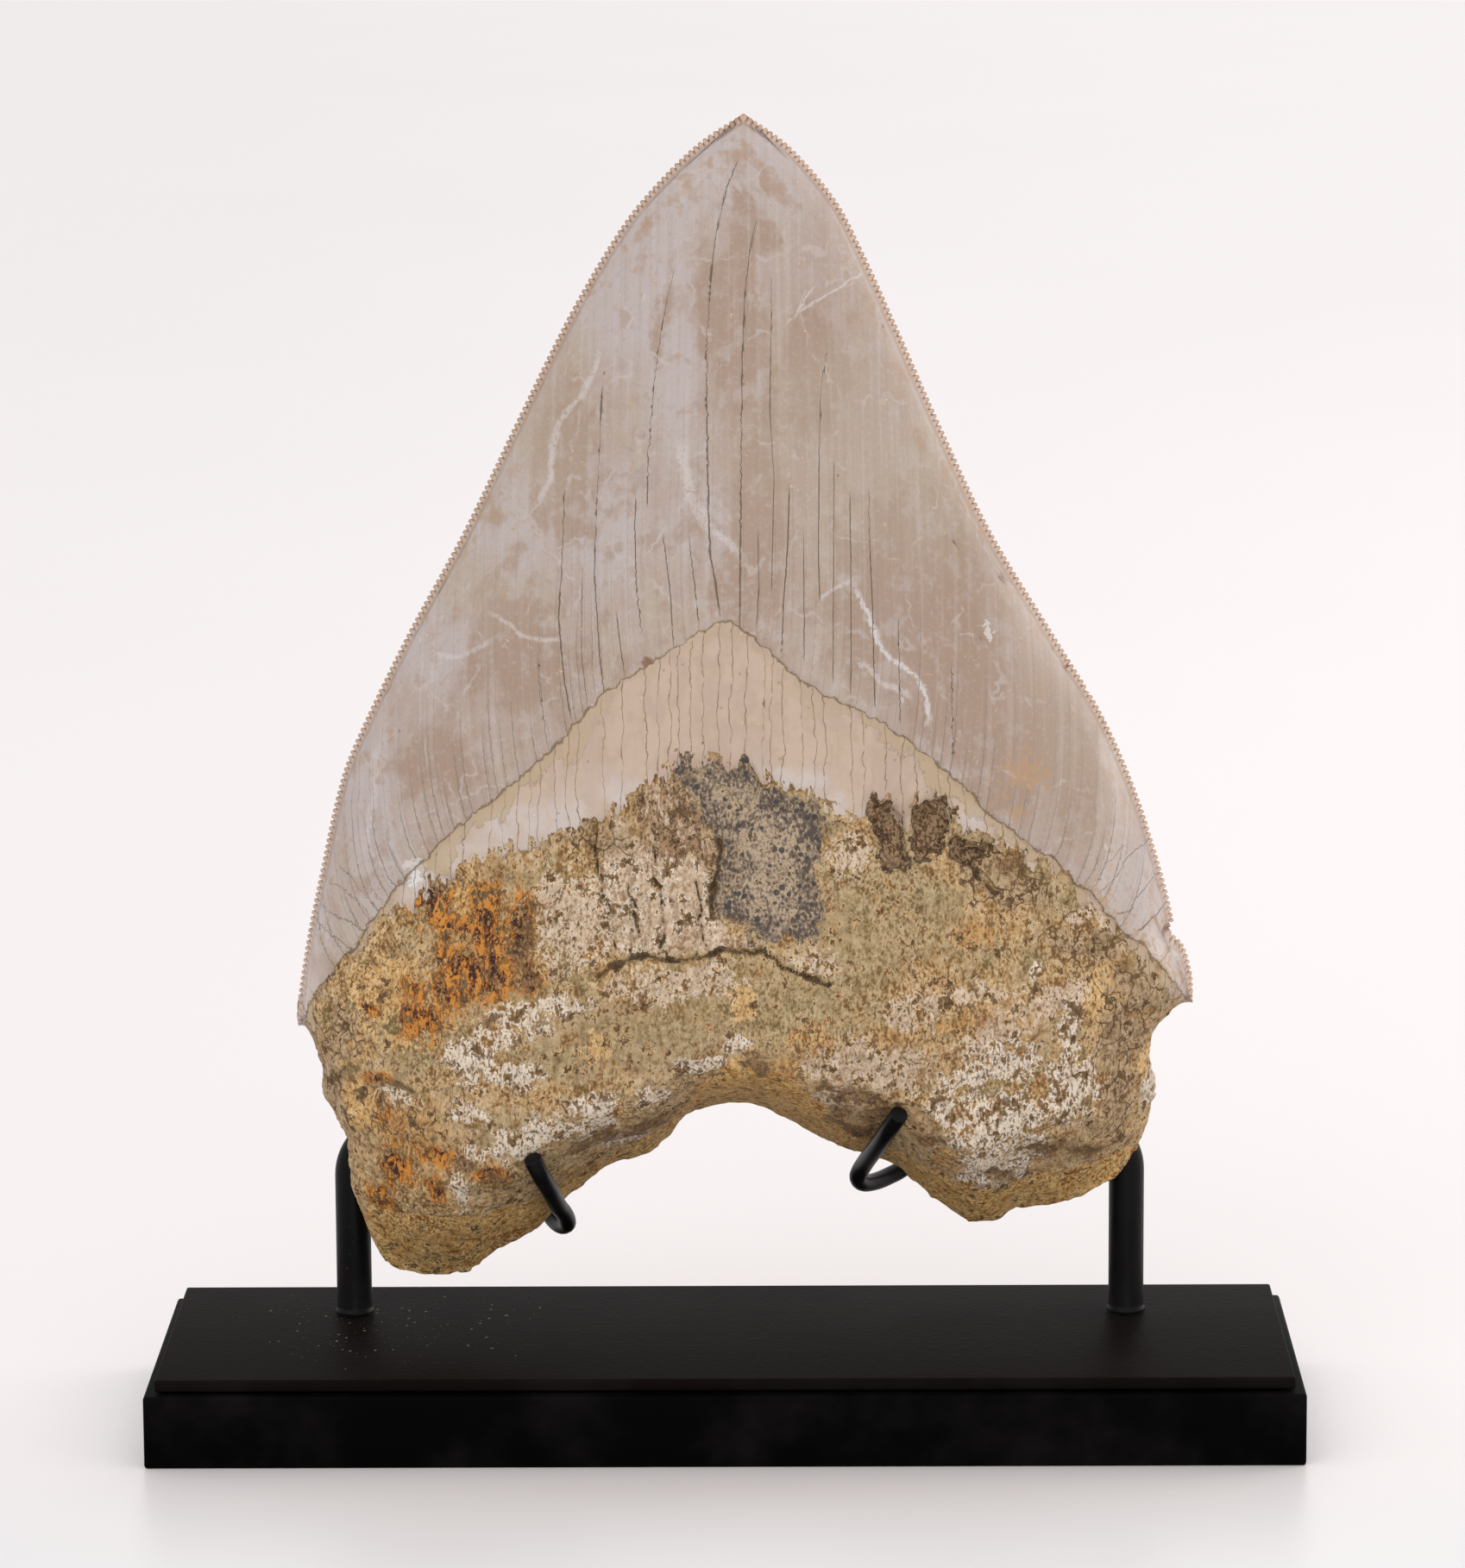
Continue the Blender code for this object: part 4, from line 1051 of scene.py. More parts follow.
@dataclass(frozen=True)
class BandLook:
    """The smooth band between enamel and bone."""

    cream: Colour = (0.505, 0.385, 0.295)
    pink: Colour = (0.445, 0.325, 0.25)
    white: Colour = (0.55, 0.485, 0.45)
    peach: Colour = (0.50, 0.33, 0.20)
    flake: Colour = (0.68, 0.66, 0.66)
    strip: Colour = (0.43, 0.315, 0.175)
    line: Colour = (0.13, 0.085, 0.035)

    def group(self, effects: Effects) -> Group:
        """Build the look as a group.

        Args:
            effects: The shared effects.

        Returns:
            The group.
        """
        w, given, out = shared_effect("band_look", {"Border": -2.0, "Torn": 0.5}, (),
                                      ("Color",))
        f = Fields(w)
        torn = given.outputs["Torn"]
        clouds = w.noise(w.stretch(f.place, (1.0, 1.0, 0.6)), 0.24, 3.0, 0.6)
        f.colour = w.mix(w.smooth(clouds, 0.40, 0.60), self.cream, self.pink)
        cool = w.plus(f.cool, f.around(clouds, 1.3))
        f.lay(w.smooth(cool, 0.0, 0.9, 0.8), self.white)
        f.lay(w.smooth(torn, 0.50, 0.64, 0.28), self.strip)
        flake = w.plus(f.chalk, f.around(torn, 1.2))
        f.lay(w.smooth(flake, 0.40, 0.55, 0.9), self.flake)
        f.lay(w.smooth(clouds, 0.56, 0.68, 0.35), self.peach)
        depth = w.shift(w.noise(w.join(f.x, 0.0, 0.0), 0.13, 1.0), 0.35, 0.65, -0.2, -3.2)
        strip = w.plus(given.outputs["Border"], w.times(depth, -1.0), f.around(torn, 1.6))
        reach = w.smooth(w.maths("ABSOLUTE", f.x), 8.0, 26.0)
        stripped = w.times(w.smooth(strip, -0.1, 0.15, 0.6), w.plus(0.35, w.times(reach, 0.65)))
        f.lay(stripped, self.strip)
        rim = w.times(w.smooth(strip, -0.25, -0.08), w.smooth(strip, 0.12, -0.02), reach)
        wander = w.plus(f.x, f.around(clouds, 1.3), f.around(torn, 0.35))
        lines = w.smooth(w.stripes(wander, 0.60), 0.055, 0.012)
        shown = w.smooth(w.noise(w.join(wander, 0.0, 0.0), 1.1, 0.0), 0.34, 0.50)
        lines = w.times(lines, shown, w.smooth(torn, 0.33, 0.45))
        lines = w.most(lines, w.times(rim, 0.5))
        f.lay(w.times(lines, 0.75), self.line)
        f.lay(w.times(effects.spots(w, f.place, 0.8, 0.10, 0.22), 0.4), self.line)
        w.feed(out.inputs["Color"], f.colour)
        return w.tree


@dataclass(frozen=True)
class BoneLook:
    """The porous root with its stains."""

    bone: Tones = Tones((0.2016, 0.1097, 0.0361), (0.4358, 0.2967, 0.1479),
                        (0.6211, 0.4762, 0.3036))
    brown: Tones = Tones((0.1431, 0.0687, 0.0177), (0.3881, 0.2337, 0.0886),
                         (0.59, 0.4113, 0.207))
    olive: Tones = Tones((0.1628, 0.1071, 0.0368), (0.3367, 0.2367, 0.116),
                         (0.479, 0.3708, 0.2176))
    straw: Tones = Tones((0.335, 0.1552, 0.0339), (0.5649, 0.3337, 0.1157),
                         (0.7234, 0.4966, 0.2445))
    ochre: Tones = Tones((0.155, 0.0516, 0.010), (0.40, 0.20, 0.058), (0.60, 0.40, 0.18))
    rust: Tones = Tones((0.0309, 0.0093, 0.004), (0.2266, 0.0614, 0.0064),
                        (0.5459, 0.2232, 0.032))
    pink: Tones = Tones((0.278, 0.174, 0.101), (0.522, 0.392, 0.269), (0.67, 0.557, 0.437))
    chalk: Tones = Tones((0.40, 0.275, 0.165), (0.66, 0.555, 0.43), (0.75, 0.68, 0.595))
    crust: Tones = Tones((0.101, 0.0535, 0.0203), (0.294, 0.1959, 0.1053),
                         (0.478, 0.357, 0.2187))
    umber: Tones = Tones((0.03, 0.014, 0.006), (0.105, 0.054, 0.018), (0.30, 0.17, 0.075))
    below: Tones = Tones((0.20, 0.076, 0.012), (0.56, 0.30, 0.083), (0.78, 0.54, 0.22))
    grains: Tones = Tones((0.08, 0.060, 0.046), (0.205, 0.15, 0.106), (0.44, 0.335, 0.225))
    pore: Colour = (0.125, 0.066, 0.028)
    slate: Colour = (0.046, 0.042, 0.043)
    hollow: Colour = (0.31, 0.205, 0.115)
    silt: Colour = (0.17, 0.125, 0.045)

    def group(self) -> Group:
        """Build the look as a group.

        Returns:
            The group.
        """
        w, _, out = shared_effect("bone_look", {}, ("Height",), ("Color",))
        f = Fields(w)
        wide = w.noise(f.place, 0.11, 2.0, 0.6)
        drift = w.noise(w.stretch(f.place, (-1.0, 1.0, 1.0)), 0.19, 2.0, 0.65)
        torn = w.noise(f.place, 0.45, 4.0, 0.70)
        grit = w.noise(w.stretch(f.place, (1.0, 1.0, 0.65)), 2.6, 1.0, 0.7)
        upright = w.noise(w.stretch(f.place, (1.0, 1.0, 0.22)), 1.3, 2.0, 0.6)
        grainy = w.shift(wide, 0.42, 0.60, 0.24, 0.48)
        tone = w.plus(w.times(f.around(grit, 0.5), grainy), w.times(torn, 0.60),
                      w.times(upright, 0.20), 0.11)
        rusty = w.plus(w.times(upright, 1.25), w.times(torn, 1.9), w.times(grit, 0.2), -1.19)
        f.colour = w.mix(w.smooth(wide, 0.44, 0.56, 0.6), self.bone.ramp(w, tone),
                         self.brown.ramp(w, tone))
        f.lay(w.smooth(drift, 0.54, 0.60, 0.3), self.ochre.ramp(w, tone))
        f.lay(w.smooth(drift, 0.46, 0.40, 0.9), self.olive.ramp(w, tone))

        def stain(mask: Socket, tones: Tones, reach: float, top: float = 1.0) -> None:
            """Cover the bone with one stain, its rim torn by the noises up to a reach."""
            ragged = w.plus(mask, f.around(torn, reach), f.around(grit, reach * 0.25))
            f.lay(w.smooth(ragged, 0.42, 0.54, top), tones.ramp(w, tone))

        stain(f.olive, self.olive, 1.2, 0.9)
        stain(f.yellow, self.straw, 1.6, 0.75)
        stain(f.orange, self.ochre, 2.2, 0.6)
        stain(f.pink, self.pink, 1.6, 0.9)
        cracked = w.smooth(w.plus(f.cracked, f.around(torn, 2.0)), -0.6, 0.8)
        f.lay(w.times(cracked, 0.85), self.pink.ramp(w, tone))
        chalky = w.most(w.plus(f.chalk, f.around(torn, 2.0)),
                        w.plus(cracked, f.around(torn, 3.0), -0.75))
        chalky = w.smooth(w.plus(chalky, f.around(grit, 0.3)), 0.41, 0.52)
        f.lay(w.times(chalky, 0.95), self.chalk.ramp(w, tone))
        halo = w.plus(w.most(f.rust, w.times(f.orange, 0.7)), f.around(torn, 2.2))
        f.lay(w.smooth(halo, 0.24, 0.40, 0.9), self.ochre.ramp(w, tone))
        deep = w.plus(f.rust, w.times(f.chalk, -0.8), f.around(torn, 2.2), f.around(upright, 1.3))
        deep = w.times(w.smooth(deep, 0.30, 0.46), w.smooth(f.rust, 0.08, 0.26))
        f.lay(deep, self.rust.ramp(w, rusty))
        stain(w.plus(f.crust, w.times(f.pink, -1.1)), self.crust, 1.8, 0.85)
        stain(f.umber, self.umber, 2.4, 0.9)
        streaks = w.plus(f.streaky, f.around(upright, 3.4))
        f.lay(w.smooth(streaks, -0.3, 0.6, 0.9), self.pink.ramp(w, tone))
        columns = w.plus(w.times(upright, 0.7), w.times(torn, 0.6))
        columns = w.times(w.smooth(streaks, -0.6, 0.0), w.smooth(columns, 0.575, 0.65, 0.9))
        f.lay(columns, self.umber.ramp(w, w.plus(grit, 0.05)))
        under = w.plus(f.under, f.around(torn, 2.6), w.times(f.umber, 2.4))
        under = w.smooth(under, 0.6, -0.6)
        f.lay(w.times(under, 0.8), self.below.ramp(w, tone))
        self.pores(f, chalky, torn, halo)
        self.sand(f, torn, grit, upright)
        cuts = self.breaks(f, torn, grit)
        w.feed(out.inputs["Color"], f.colour)
        w.feed(out.inputs["Height"], w.plus(w.times(grit, 0.10), w.times(cuts, -0.25)))
        return w.tree

    def pores(self, f: Fields, chalky: Socket, torn: Socket, halo: Socket) -> None:
        """Lay upright brown pores, thick in chalk and rust, thin in the smooth parts.

        Args:
            f: The tooth.
            chalky: The chalk's mask.
            torn: A torn noise.
            halo: The rust's halo.
        """
        w = f.w
        pits = w.noise(w.stretch(f.place, (1.0, 1.0, 0.42)), 2.7, 1.0, 0.5)
        level = w.plus(0.665, w.times(chalky, -0.085), w.times(f.pink, -0.06),
                       w.times(f.olive, 0.02), f.around(torn, -0.28),
                       w.smooth(halo, 0.1, 0.4, -0.07))
        pores = w.smooth(pits, level, w.plus(level, 0.035))
        f.lay(w.times(pores, 0.8), self.pore)

    def sand(self, f: Fields, torn: Socket, grit: Socket, upright: Socket) -> None:
        """Lay the gritty patch of blue-grey and brown stones in the root's middle.

        Args:
            f: The tooth.
            torn: A torn noise.
            grit: A gritty noise.
            upright: An upright noise.
        """
        w = f.w
        inside = w.smooth(w.plus(f.sand, f.around(torn, 2.2), f.around(upright, 2.6)), -0.3,
                          0.3)
        stones = w.cells(f.place, 1.05)
        pick, vary, _ = w.split(stones.outputs["Color"])
        size = w.plus(0.18, w.times(vary, vary, 0.38))
        stone = w.smooth(stones.outputs["Distance"], size, w.times(size, 0.7))
        stone = w.times(stone, w.maths("LESS_THAN", pick, 0.85))
        ground = w.plus(w.times(grit, 0.55), w.times(torn, 0.65), w.smooth(f.sand, 0.5, 4.5, 0.09),
                        -0.14)
        made = w.mix(w.times(stone, 0.9), self.grains.ramp(w, ground),
                     w.mix(w.smooth(vary, 0.35, 0.6), self.umber.middle, self.slate))
        f.lay(inside, made)

    def breaks(self, f: Fields, torn: Socket, grit: Socket) -> Socket:
        """Lay cracks, the crust's plates, small chips and the deep cavities.

        Args:
            f: The tooth.
            torn: A torn noise.
            grit: A gritty noise.

        Returns:
            The mask of the cuts.
        """
        w = f.w
        edge = w.plus(f.gash, f.around(torn, 1.7), f.around(grit, 0.9))
        gash = w.smooth(edge, 0.56, 0.80)
        plates = w.cells(w.stretch(w.warped(f.place, 0.5, 2.8), (1.0, 1.0, 0.7)), 0.30,
                         "DISTANCE_TO_EDGE")
        shown = w.plus(w.smooth(f.crust, 0.12, 0.4), w.smooth(torn, 0.49, 0.57, 0.7))
        plates = w.times(w.smooth(plates.outputs["Distance"], 0.042, 0.016), shown)
        lines = w.stripes(w.plus(f.x, f.around(torn, 2.2)), 0.42)
        lines = w.times(w.smooth(lines, 0.04, 0.01), w.smooth(f.cracked, -0.5, 0.8),
                        w.smooth(grit, 0.40, 0.50))
        f.lay(w.most(w.times(plates, 0.85), w.times(lines, 0.7)), self.umber.middle)
        f.lay(w.smooth(edge, 0.36, 0.58, 0.45), self.silt)
        f.lay(w.times(gash, 0.85), self.umber.middle)
        f.lay(w.smooth(edge, 0.90, 1.10, 0.7), self.umber.dark)
        f.lay(w.smooth(f.notch, 0.35, 0.7), self.umber.dark)
        sunk = w.plus(f.cavity, f.around(torn, 2.8))
        cavity = w.smooth(sunk, -0.15, 0.05)
        pit = w.mix(w.smooth(w.plus(grit, w.times(torn, 0.6)), 0.72, 0.86),
                    self.umber.middle, self.hollow)
        pit = w.mix(w.smooth(sunk, 0.75, 0.25, 0.8), pit, self.umber.dark)
        f.lay(cavity, pit)
        return gash


BONE_ROUGHNESS = 0.86
BAND_ROUGHNESS = 0.50


@dataclass(frozen=True)
class FossilFinish:
    """Materials of the tooth: enamel, bone, and the zone where they meet the band."""

    effects: Effects
    # Colour of the enamel seam, and of the painted shadow under the band's ledge
    border_brown_and_shadow: Colour = (0.135, 0.082, 0.026)

    def materials(self) -> list[Finish]:
        """Enamel, border zone and bone, in the order of the tooth's zones.

        Returns:
            One material for each zone.
        """
        enamel = EnamelLook().group(self.effects)
        band = BandLook().group(self.effects)
        bone = BoneLook().group()
        return [self.plain("fossil_enamel", enamel, 0.0), self.border(enamel, band, bone),
                self.plain("fossil_bone", bone, BONE_ROUGHNESS)]

    def plain(self, name: str, look: Group, roughness: float) -> Finish:
        """A zone that one look covers; its roughness is the look's own where it has one.

        Args:
            name: The material's name.
            look: The look.
            roughness: Used where the look has none.

        Returns:
            The material.
        """
        made, w, shader = new_material(name)
        placed = w.group(look, {})
        w.feed(shader.inputs["Base Color"], placed.outputs["Color"])
        own = placed.outputs.get("Roughness")
        w.feed(shader.inputs["Roughness"], own if own else roughness)
        add_relief(w, shader, placed.outputs["Height"])
        return made

    def border(self, enamel: Group, band: Group, bone: Group) -> Finish:
        """The zone where enamel, band and bone give way to each other.

        Args:
            enamel: The crown's look.
            band: The band's look.
            bone: The root's look.

        Returns:
            The material.
        """
        made, w, shader = new_material("fossil_border")
        f = Fields(w)
        torn = w.noise(f.place, 0.55, 4.0, 0.65)
        border = w.plus(f.enamel, f.around(torn, 0.9))
        run = w.noise(w.stretch(f.place, (1.0, 1.0, 0.35)), 0.5, 3.0, 0.7)
        band_edge = w.plus(f.band, w.smooth(run, 0.47, 0.53, 1.5), -0.75, f.around(torn, 1.5))
        in_crown = w.smooth(border, -0.05, 0.05)
        off_bone = w.smooth(band_edge, -0.08, 0.08)
        top = w.group(enamel, {})
        middle = w.group(band, {"Border": border, "Torn": torn})
        foot = w.group(bone, {})
        # Painted shadow: the bone just under the band's ledge is darkened with the border brown
        rim = w.times(w.smooth(band_edge, -0.6, -0.1), 0.45)
        f.colour = w.mix(rim, foot.outputs["Color"], self.border_brown_and_shadow)
        f.lay(off_bone, middle.outputs["Color"])
        f.lay(in_crown, top.outputs["Color"])
        thick = w.shift(run, 0.36, 0.66, 0.10, 0.34)
        seam = w.times(w.smooth(w.maths("ABSOLUTE", border), thick, 0.02), f.front)
        f.lay(w.times(seam, 0.8), self.border_brown_and_shadow)
        w.feed(shader.inputs["Base Color"], f.colour)
        rough = w.between(off_bone, BONE_ROUGHNESS, BAND_ROUGHNESS)
        w.feed(shader.inputs["Roughness"], w.between(in_crown, rough, top.outputs["Roughness"]))
        height = w.times(foot.outputs["Height"], w.inverse(off_bone))
        add_relief(w, shader, w.plus(height, w.times(off_bone, 0.1)))
        return made


@dataclass(frozen=True)
class PaintFinish:
    """Black paint with its own texture, dust and wear."""

    name: str
    effects: Effects
    black: Colour
    roughness: float
    grain_per_mm: float
    grain_height: float
    dust_share: float
    sheen: float
    dusty_spot: Place = (-44.0, 4.0, 11.0)
    dusty_reach: float = 26.0
    dust: Colour = (0.30, 0.23, 0.16)
    haze: Colour = (0.012, 0.010, 0.010)

    def material(self) -> Finish:
        """Wire the paint.

        Returns:
            The material.
        """
        made, w, shader = new_material(self.name)
        shader.inputs["Specular IOR Level"].default_value = self.sheen
        place = w.millimetres()
        haze = w.group(self.effects.mottle, {"Place": place, "Per mm": 0.07, "Low": 0.4,
                                             "High": 0.75}).outputs["Value"]
        colour = w.mix(w.times(haze, 0.5), self.black, self.haze)
        away = w.add("ShaderNodeVectorMath", {0: place, 1: self.dusty_spot},
                     operation="DISTANCE").outputs["Value"]
        share = w.times(w.smooth(away, self.dusty_reach, 4.0), self.dust_share)
        dust = self.effects.spots(w, place, 0.9, share, 0.2)
        fine_dust = self.effects.spots(w, place, 2.1, share, 0.2)
        spots = w.most(dust, w.times(fine_dust, 0.6))
        w.feed(shader.inputs["Base Color"], w.mix(spots, colour, self.dust))
        w.feed(shader.inputs["Roughness"],
               w.plus(self.roughness, w.times(haze, 0.05), w.times(spots, 0.3)))
        grain = w.noise(place, self.grain_per_mm, 1.0, 0.4)
        add_relief(w, shader, w.plus(w.times(grain, self.grain_height),
                                     w.times(spots, 0.03)))
        return made


@dataclass(frozen=True)
class FloorFinish:
    """Pale smooth tabletop with a soft gloss, its near part painted cooler and its near corners
    darker as painted shade.
    """

    colour: Colour = (0.83, 0.79, 0.79)
    # Painted shade: the near part of the floor cooler, its near corners darker
    cool: Colour = (0.79, 0.785, 0.795)
    near_corner_shade: Colour = (0.71, 0.71, 0.72)
    roughness: float = 0.34

    def material(self) -> Finish:
        """Wire the floor.

        Returns:
            The material.
        """
        made, w, shader = new_material("pale_floor")
        place = w.millimetres()
        cloud = w.noise(place, 0.004, 2.0)
        darker = tuple(0.97 * part for part in self.colour)
        x, y, _ = w.split(place)
        # Painted shade towards the camera, darker still in the near corners
        near = w.smooth(y, -20.0, -80.0)
        far_off = w.smooth(w.maths("ABSOLUTE", x), 60.0, 130.0)
        colour = w.mix(near, w.mix(cloud, self.colour, darker), self.cool)
        w.feed(shader.inputs["Base Color"], w.mix(w.times(near, far_off), colour, self.near_corner_shade))
        w.feed(shader.inputs["Roughness"], w.plus(self.roughness, w.times(cloud, 0.03)))
        return made


# ---------------------------------------------------------------- the tooth

def clear_selection() -> None:
    """Leave nothing selected or active, and let vertices and edges be picked."""
    bpy.ops.object.select_all(action="DESELECT")
    bpy.context.tool_settings.mesh_select_mode = (True, True, False)
    bpy.context.view_layer.objects.active = None


def make_active(piece: Piece) -> None:
    """Select one piece alone."""
    clear_selection()
    piece.select_set(True)
    bpy.context.view_layer.objects.active = piece


def open_shape() -> None:
    """Enter edit mode with all of the active piece selected."""
    bpy.ops.object.mode_set(mode="EDIT")
    bpy.ops.mesh.select_all(action="SELECT")


def close_shape(crease_degrees: float) -> None:
    """Leave edit mode and shade smooth, but for edges sharper than the angle."""
    bpy.ops.object.mode_set(mode="OBJECT")
    bpy.ops.object.shade_smooth_by_angle(angle=math.radians(crease_degrees))


def settle(piece: Piece, node: str, slot: str, *materials: Finish) -> Piece:
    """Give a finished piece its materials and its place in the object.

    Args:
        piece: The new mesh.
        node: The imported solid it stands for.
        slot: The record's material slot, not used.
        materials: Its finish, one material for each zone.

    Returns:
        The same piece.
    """
    piece.name = node + "_look"
    piece.data.name = piece.name
    piece.data.materials.clear()
    for material in materials:
        piece.data.materials.append(material)
    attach(piece, ROOT_BODY)
    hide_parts(node)
    LOG.info("%s: %d faces", piece.name, len(piece.data.polygons))
    return piece


class MeshArrays:
    """Reads and writes a mesh's numbers as arrays, in millimetres."""

    def __init__(self, mesh: bpy.types.Mesh) -> None:
        """Work on the mesh given."""
        self.mesh = mesh

    def triples(self, items: bpy.types.bpy_prop_collection, name: str) -> Array:
        """Read one property of three numbers.

        Args:
            items: The mesh's vertices, normals or faces.
            name: The property.

        Returns:
            A row for each item.
        """
        flat = np.empty(3 * len(items), np.float32)
        items.foreach_get(name, flat)
        return flat.reshape(-1, 3).astype(float)

    def points(self) -> Array:
        """Every vertex's place in millimetres."""
        return self.triples(self.mesh.vertices, "co") / MM

    def normals(self) -> Array:
        """Every vertex's outward direction."""
        return self.triples(self.mesh.vertex_normals, "vector")

    def centres(self) -> Array:
        """The middle of every face in millimetres."""
        return self.triples(self.mesh.polygons, "center") / MM

    def move_to(self, points: Array) -> None:
        """Put every vertex at a new place."""
        self.mesh.vertices.foreach_set("co", (points * MM).astype(np.float32).ravel())
        self.mesh.update()

    def keep(self, name: str, *parts: Array) -> None:
        """Store three measures at the vertices under one name."""
        kept = self.mesh.attributes.new(name, "FLOAT_VECTOR", "POINT")
        kept.data.foreach_set("vector", np.stack(parts, 1).astype(np.float32).ravel())

    def select_faces(self, chosen: Array) -> None:
        """Select the chosen faces alone, seen from object mode."""
        self.mesh.vertices.foreach_set("select", np.zeros(len(self.mesh.vertices), bool))
        self.mesh.edges.foreach_set("select", np.zeros(len(self.mesh.edges), bool))
        self.mesh.polygons.foreach_set("select", chosen)


# The plane that the outline lies in leans back, and the root's part stands behind it
EDGE_LEAN = 0.02
EDGE_LEAN_FOOT = 50.0
EDGE_SETBACK = 2.0
BACK_BAND = 1.6
SERRATIONS = 168
SERRATION_DEPTH = 0.5
SAW_STRIP = 1.15
# Lowest corner of the enamel, and the height below which all is root
CROWN_FOOT = 53.0
LOBES_TOP = 52.0
SETBACK_TOP = 58.0
SETBACK_REACH = 12.0
FAR_OUTSIDE = -6.0
ENAMEL_ZONE = 1.6
BONE_ZONE = -3.0
NICKS: tuple[tuple[float, float, float, float], ...] = (
    (-9.6, 105.2, 0.75, 0.85), (-9.6, 101.0, 0.5, 0.55), (-13.6, 89.4, 0.3, 0.4),
    (-26.6, 83.4, 0.3, 0.3), (-27.4, 83.0, 0.3, 0.25), (-25.8, 84.0, 0.25, 0.25),
    (33.8, 106.9, 0.35, 0.3), (30.5, 119.4, 0.3, 0.3), (35.6, 99.2, 0.3, 0.35),
    (58.9, 67.0, 0.9, 0.7), (45.8, 105.5, 0.35, 0.35), (48.7, 98.8, 0.45, 0.45),
    (36.9, 114.1, 0.3, 0.25), (45.5, 102.1, 0.3, 0.35), (-17.4, 120.6, 0.25, 0.3),
    (-17.0, 117.8, 0.25, 0.25), (57.2, 80.3, 0.5, 0.6),
)


@dataclass
class Survey:
    """Where each point of the tooth lies on it, and what the point carries."""

    points: Array

    def __post_init__(self) -> None:
        """Measure once against the outlines."""
        _, y, z = self.points.T
        self.flat = self.points[:, [0, 2]]
        self.plane = EDGE_LEAN * (z - EDGE_LEAN_FOOT)
        self.plane += EDGE_SETBACK * np.clip((SETBACK_TOP - z) / SETBACK_REACH, 0.0, 1.0)
        self.front = y < self.plane
        left, right = smooth_path(LEFT_CUTTING_EDGE), smooth_path(RIGHT_CUTTING_EDGE)
        lengths = [float(np.hypot(*np.diff(path, axis=0).T).sum()) for path in (left, right)]
        offs, reaches = zip(*(line_distance(self.flat, path) for path in (left, right)))
        self.on_right = offs[1] < offs[0]
        self.edge = np.where(self.on_right, offs[1], offs[0])
        self.reach = np.where(self.on_right, reaches[1] / lengths[1], reaches[0] / lengths[0])
        self.saw = self.reach * SERRATIONS
        self.enamel = np.where(self.front, height_over(self.flat, FRONT_ENAMEL_BORDER),
                               height_over(self.flat, BACK_ENAMEL_BORDER))
        self.band = np.where(self.front, height_over(self.flat, FRONT_BAND_BORDER),
                             height_over(self.flat, BACK_ENAMEL_BORDER) + BACK_BAND)

    def on_front(self, values: Array, elsewhere: float) -> Array:
        """The values on the front, and one number on the back."""
        return np.where(self.front, values, elsewhere)

    def fan(self) -> Array:
        """A crosswise measure whose lines stand square on the crown's foot.

        Returns:
            The measure in millimetres.
        """
        foot = np.array(CRACK_FOOT)
        off, reach = line_distance(self.flat, CRACK_FOOT)
        foot_x = np.interp(reach, lengths_along(foot), foot[:, 0])
        x = self.flat[:, 0]
        lean = 0.35 + 0.65 * ease(np.abs(x - 3.0), 30.0, 52.0)
        return x + lean * np.exp(-off / 14.0) * (foot_x - x)

    def hair_cracks(self) -> tuple[Array, Array, Array]:
        """Number the space between the long cracks.

        Returns:
            A phase that is whole on each crack, the width of the space, and the
            nearer crack's own width.
        """
        x, z = self.flat.T
        left, right = by_height(LEFT_CUTTING_EDGE), by_height(RIGHT_CUTTING_EDGE)

        def sides(level: Array) -> tuple[Array, Array]:
            """Middle and half width of the crown at a height."""
            a, b = np.interp(level, *left.T), np.interp(level, *right.T)
            return (a + b) / 2.0, np.maximum((b - a) / 2.0, 0.5)

        middle, half = sides(z)
        rows, widths, free = [middle - half - 4.0], [np.zeros_like(x)], [np.ones(len(x), bool)]
        for crack in HAIR_CRACKS:
            line = by_height(crack.points)
            low, high = line[0, 0], line[-1, 0]
            here = np.interp(z, *line.T)
            top_middle, top_half = sides(np.array([high]))
            above = middle + (line[-1, 1] - top_middle) * half / top_half
            rows.append(np.where(z > high, above, here))
            free.append((z > high + 1.0) | (z < low - 1.0))
            fade = ease(z, low - 0.5, low + 1.5) * (1.0 - ease(z, high - 4.0, high))
            widths.append(crack.width * fade)
        rows.append(middle + half + 4.0)
        widths.append(np.zeros_like(x))
        free.append(np.ones(len(x), bool))
        space = np.clip(half / 30.0, 0.05, 0.6)
        for k in range(1, len(rows)):
            rows[k] = np.where(free[k], np.maximum(rows[k], rows[k - 1] + space), rows[k])
        for k in range(len(rows) - 2, -1, -1):
            rows[k] = np.where(free[k], np.minimum(rows[k], rows[k + 1] - space), rows[k])
        for k in range(1, len(rows)):
            rows[k] = np.maximum(rows[k], rows[k - 1] + 0.02)
        lines = np.array(rows)
        index = np.clip((lines <= x).sum(0), 1, len(lines) - 1)
        each = np.arange(len(x))
        below, above = lines[index - 1, each], lines[index, each]
        gap = above - below
        share = np.clip((x - below) / gap, 0.0, 1.0)
        table = np.array(widths)
        width = np.where(share < 0.5, table[index - 1, each], table[index, each])
        return index + share, gap, self.on_front(width, 0.0)

    def gashes(self) -> Array:
        """How near each point is to a broad crack of the root.

        Returns:
            1 in a crack, falling to 0.
        """
        depth = np.zeros(len(self.flat))
        wander = push(self.points, Pattern.GASH_ACROSS, Pattern.GASH_UP)
        places = self.flat + 0.7 * wander
        for crack in ROOT_CRACKS:
            off, _ = line_distance(places, crack.points)
            depth = np.maximum(depth, np.exp2(-(off / crack.width) ** 2))
        return self.on_front(depth, 0.0)

    def nicks(self) -> Array:
        """Small dark chips and holes of the front."""
        return np.max([Blot(*nick).share(self.flat) for nick in NICKS], 0)

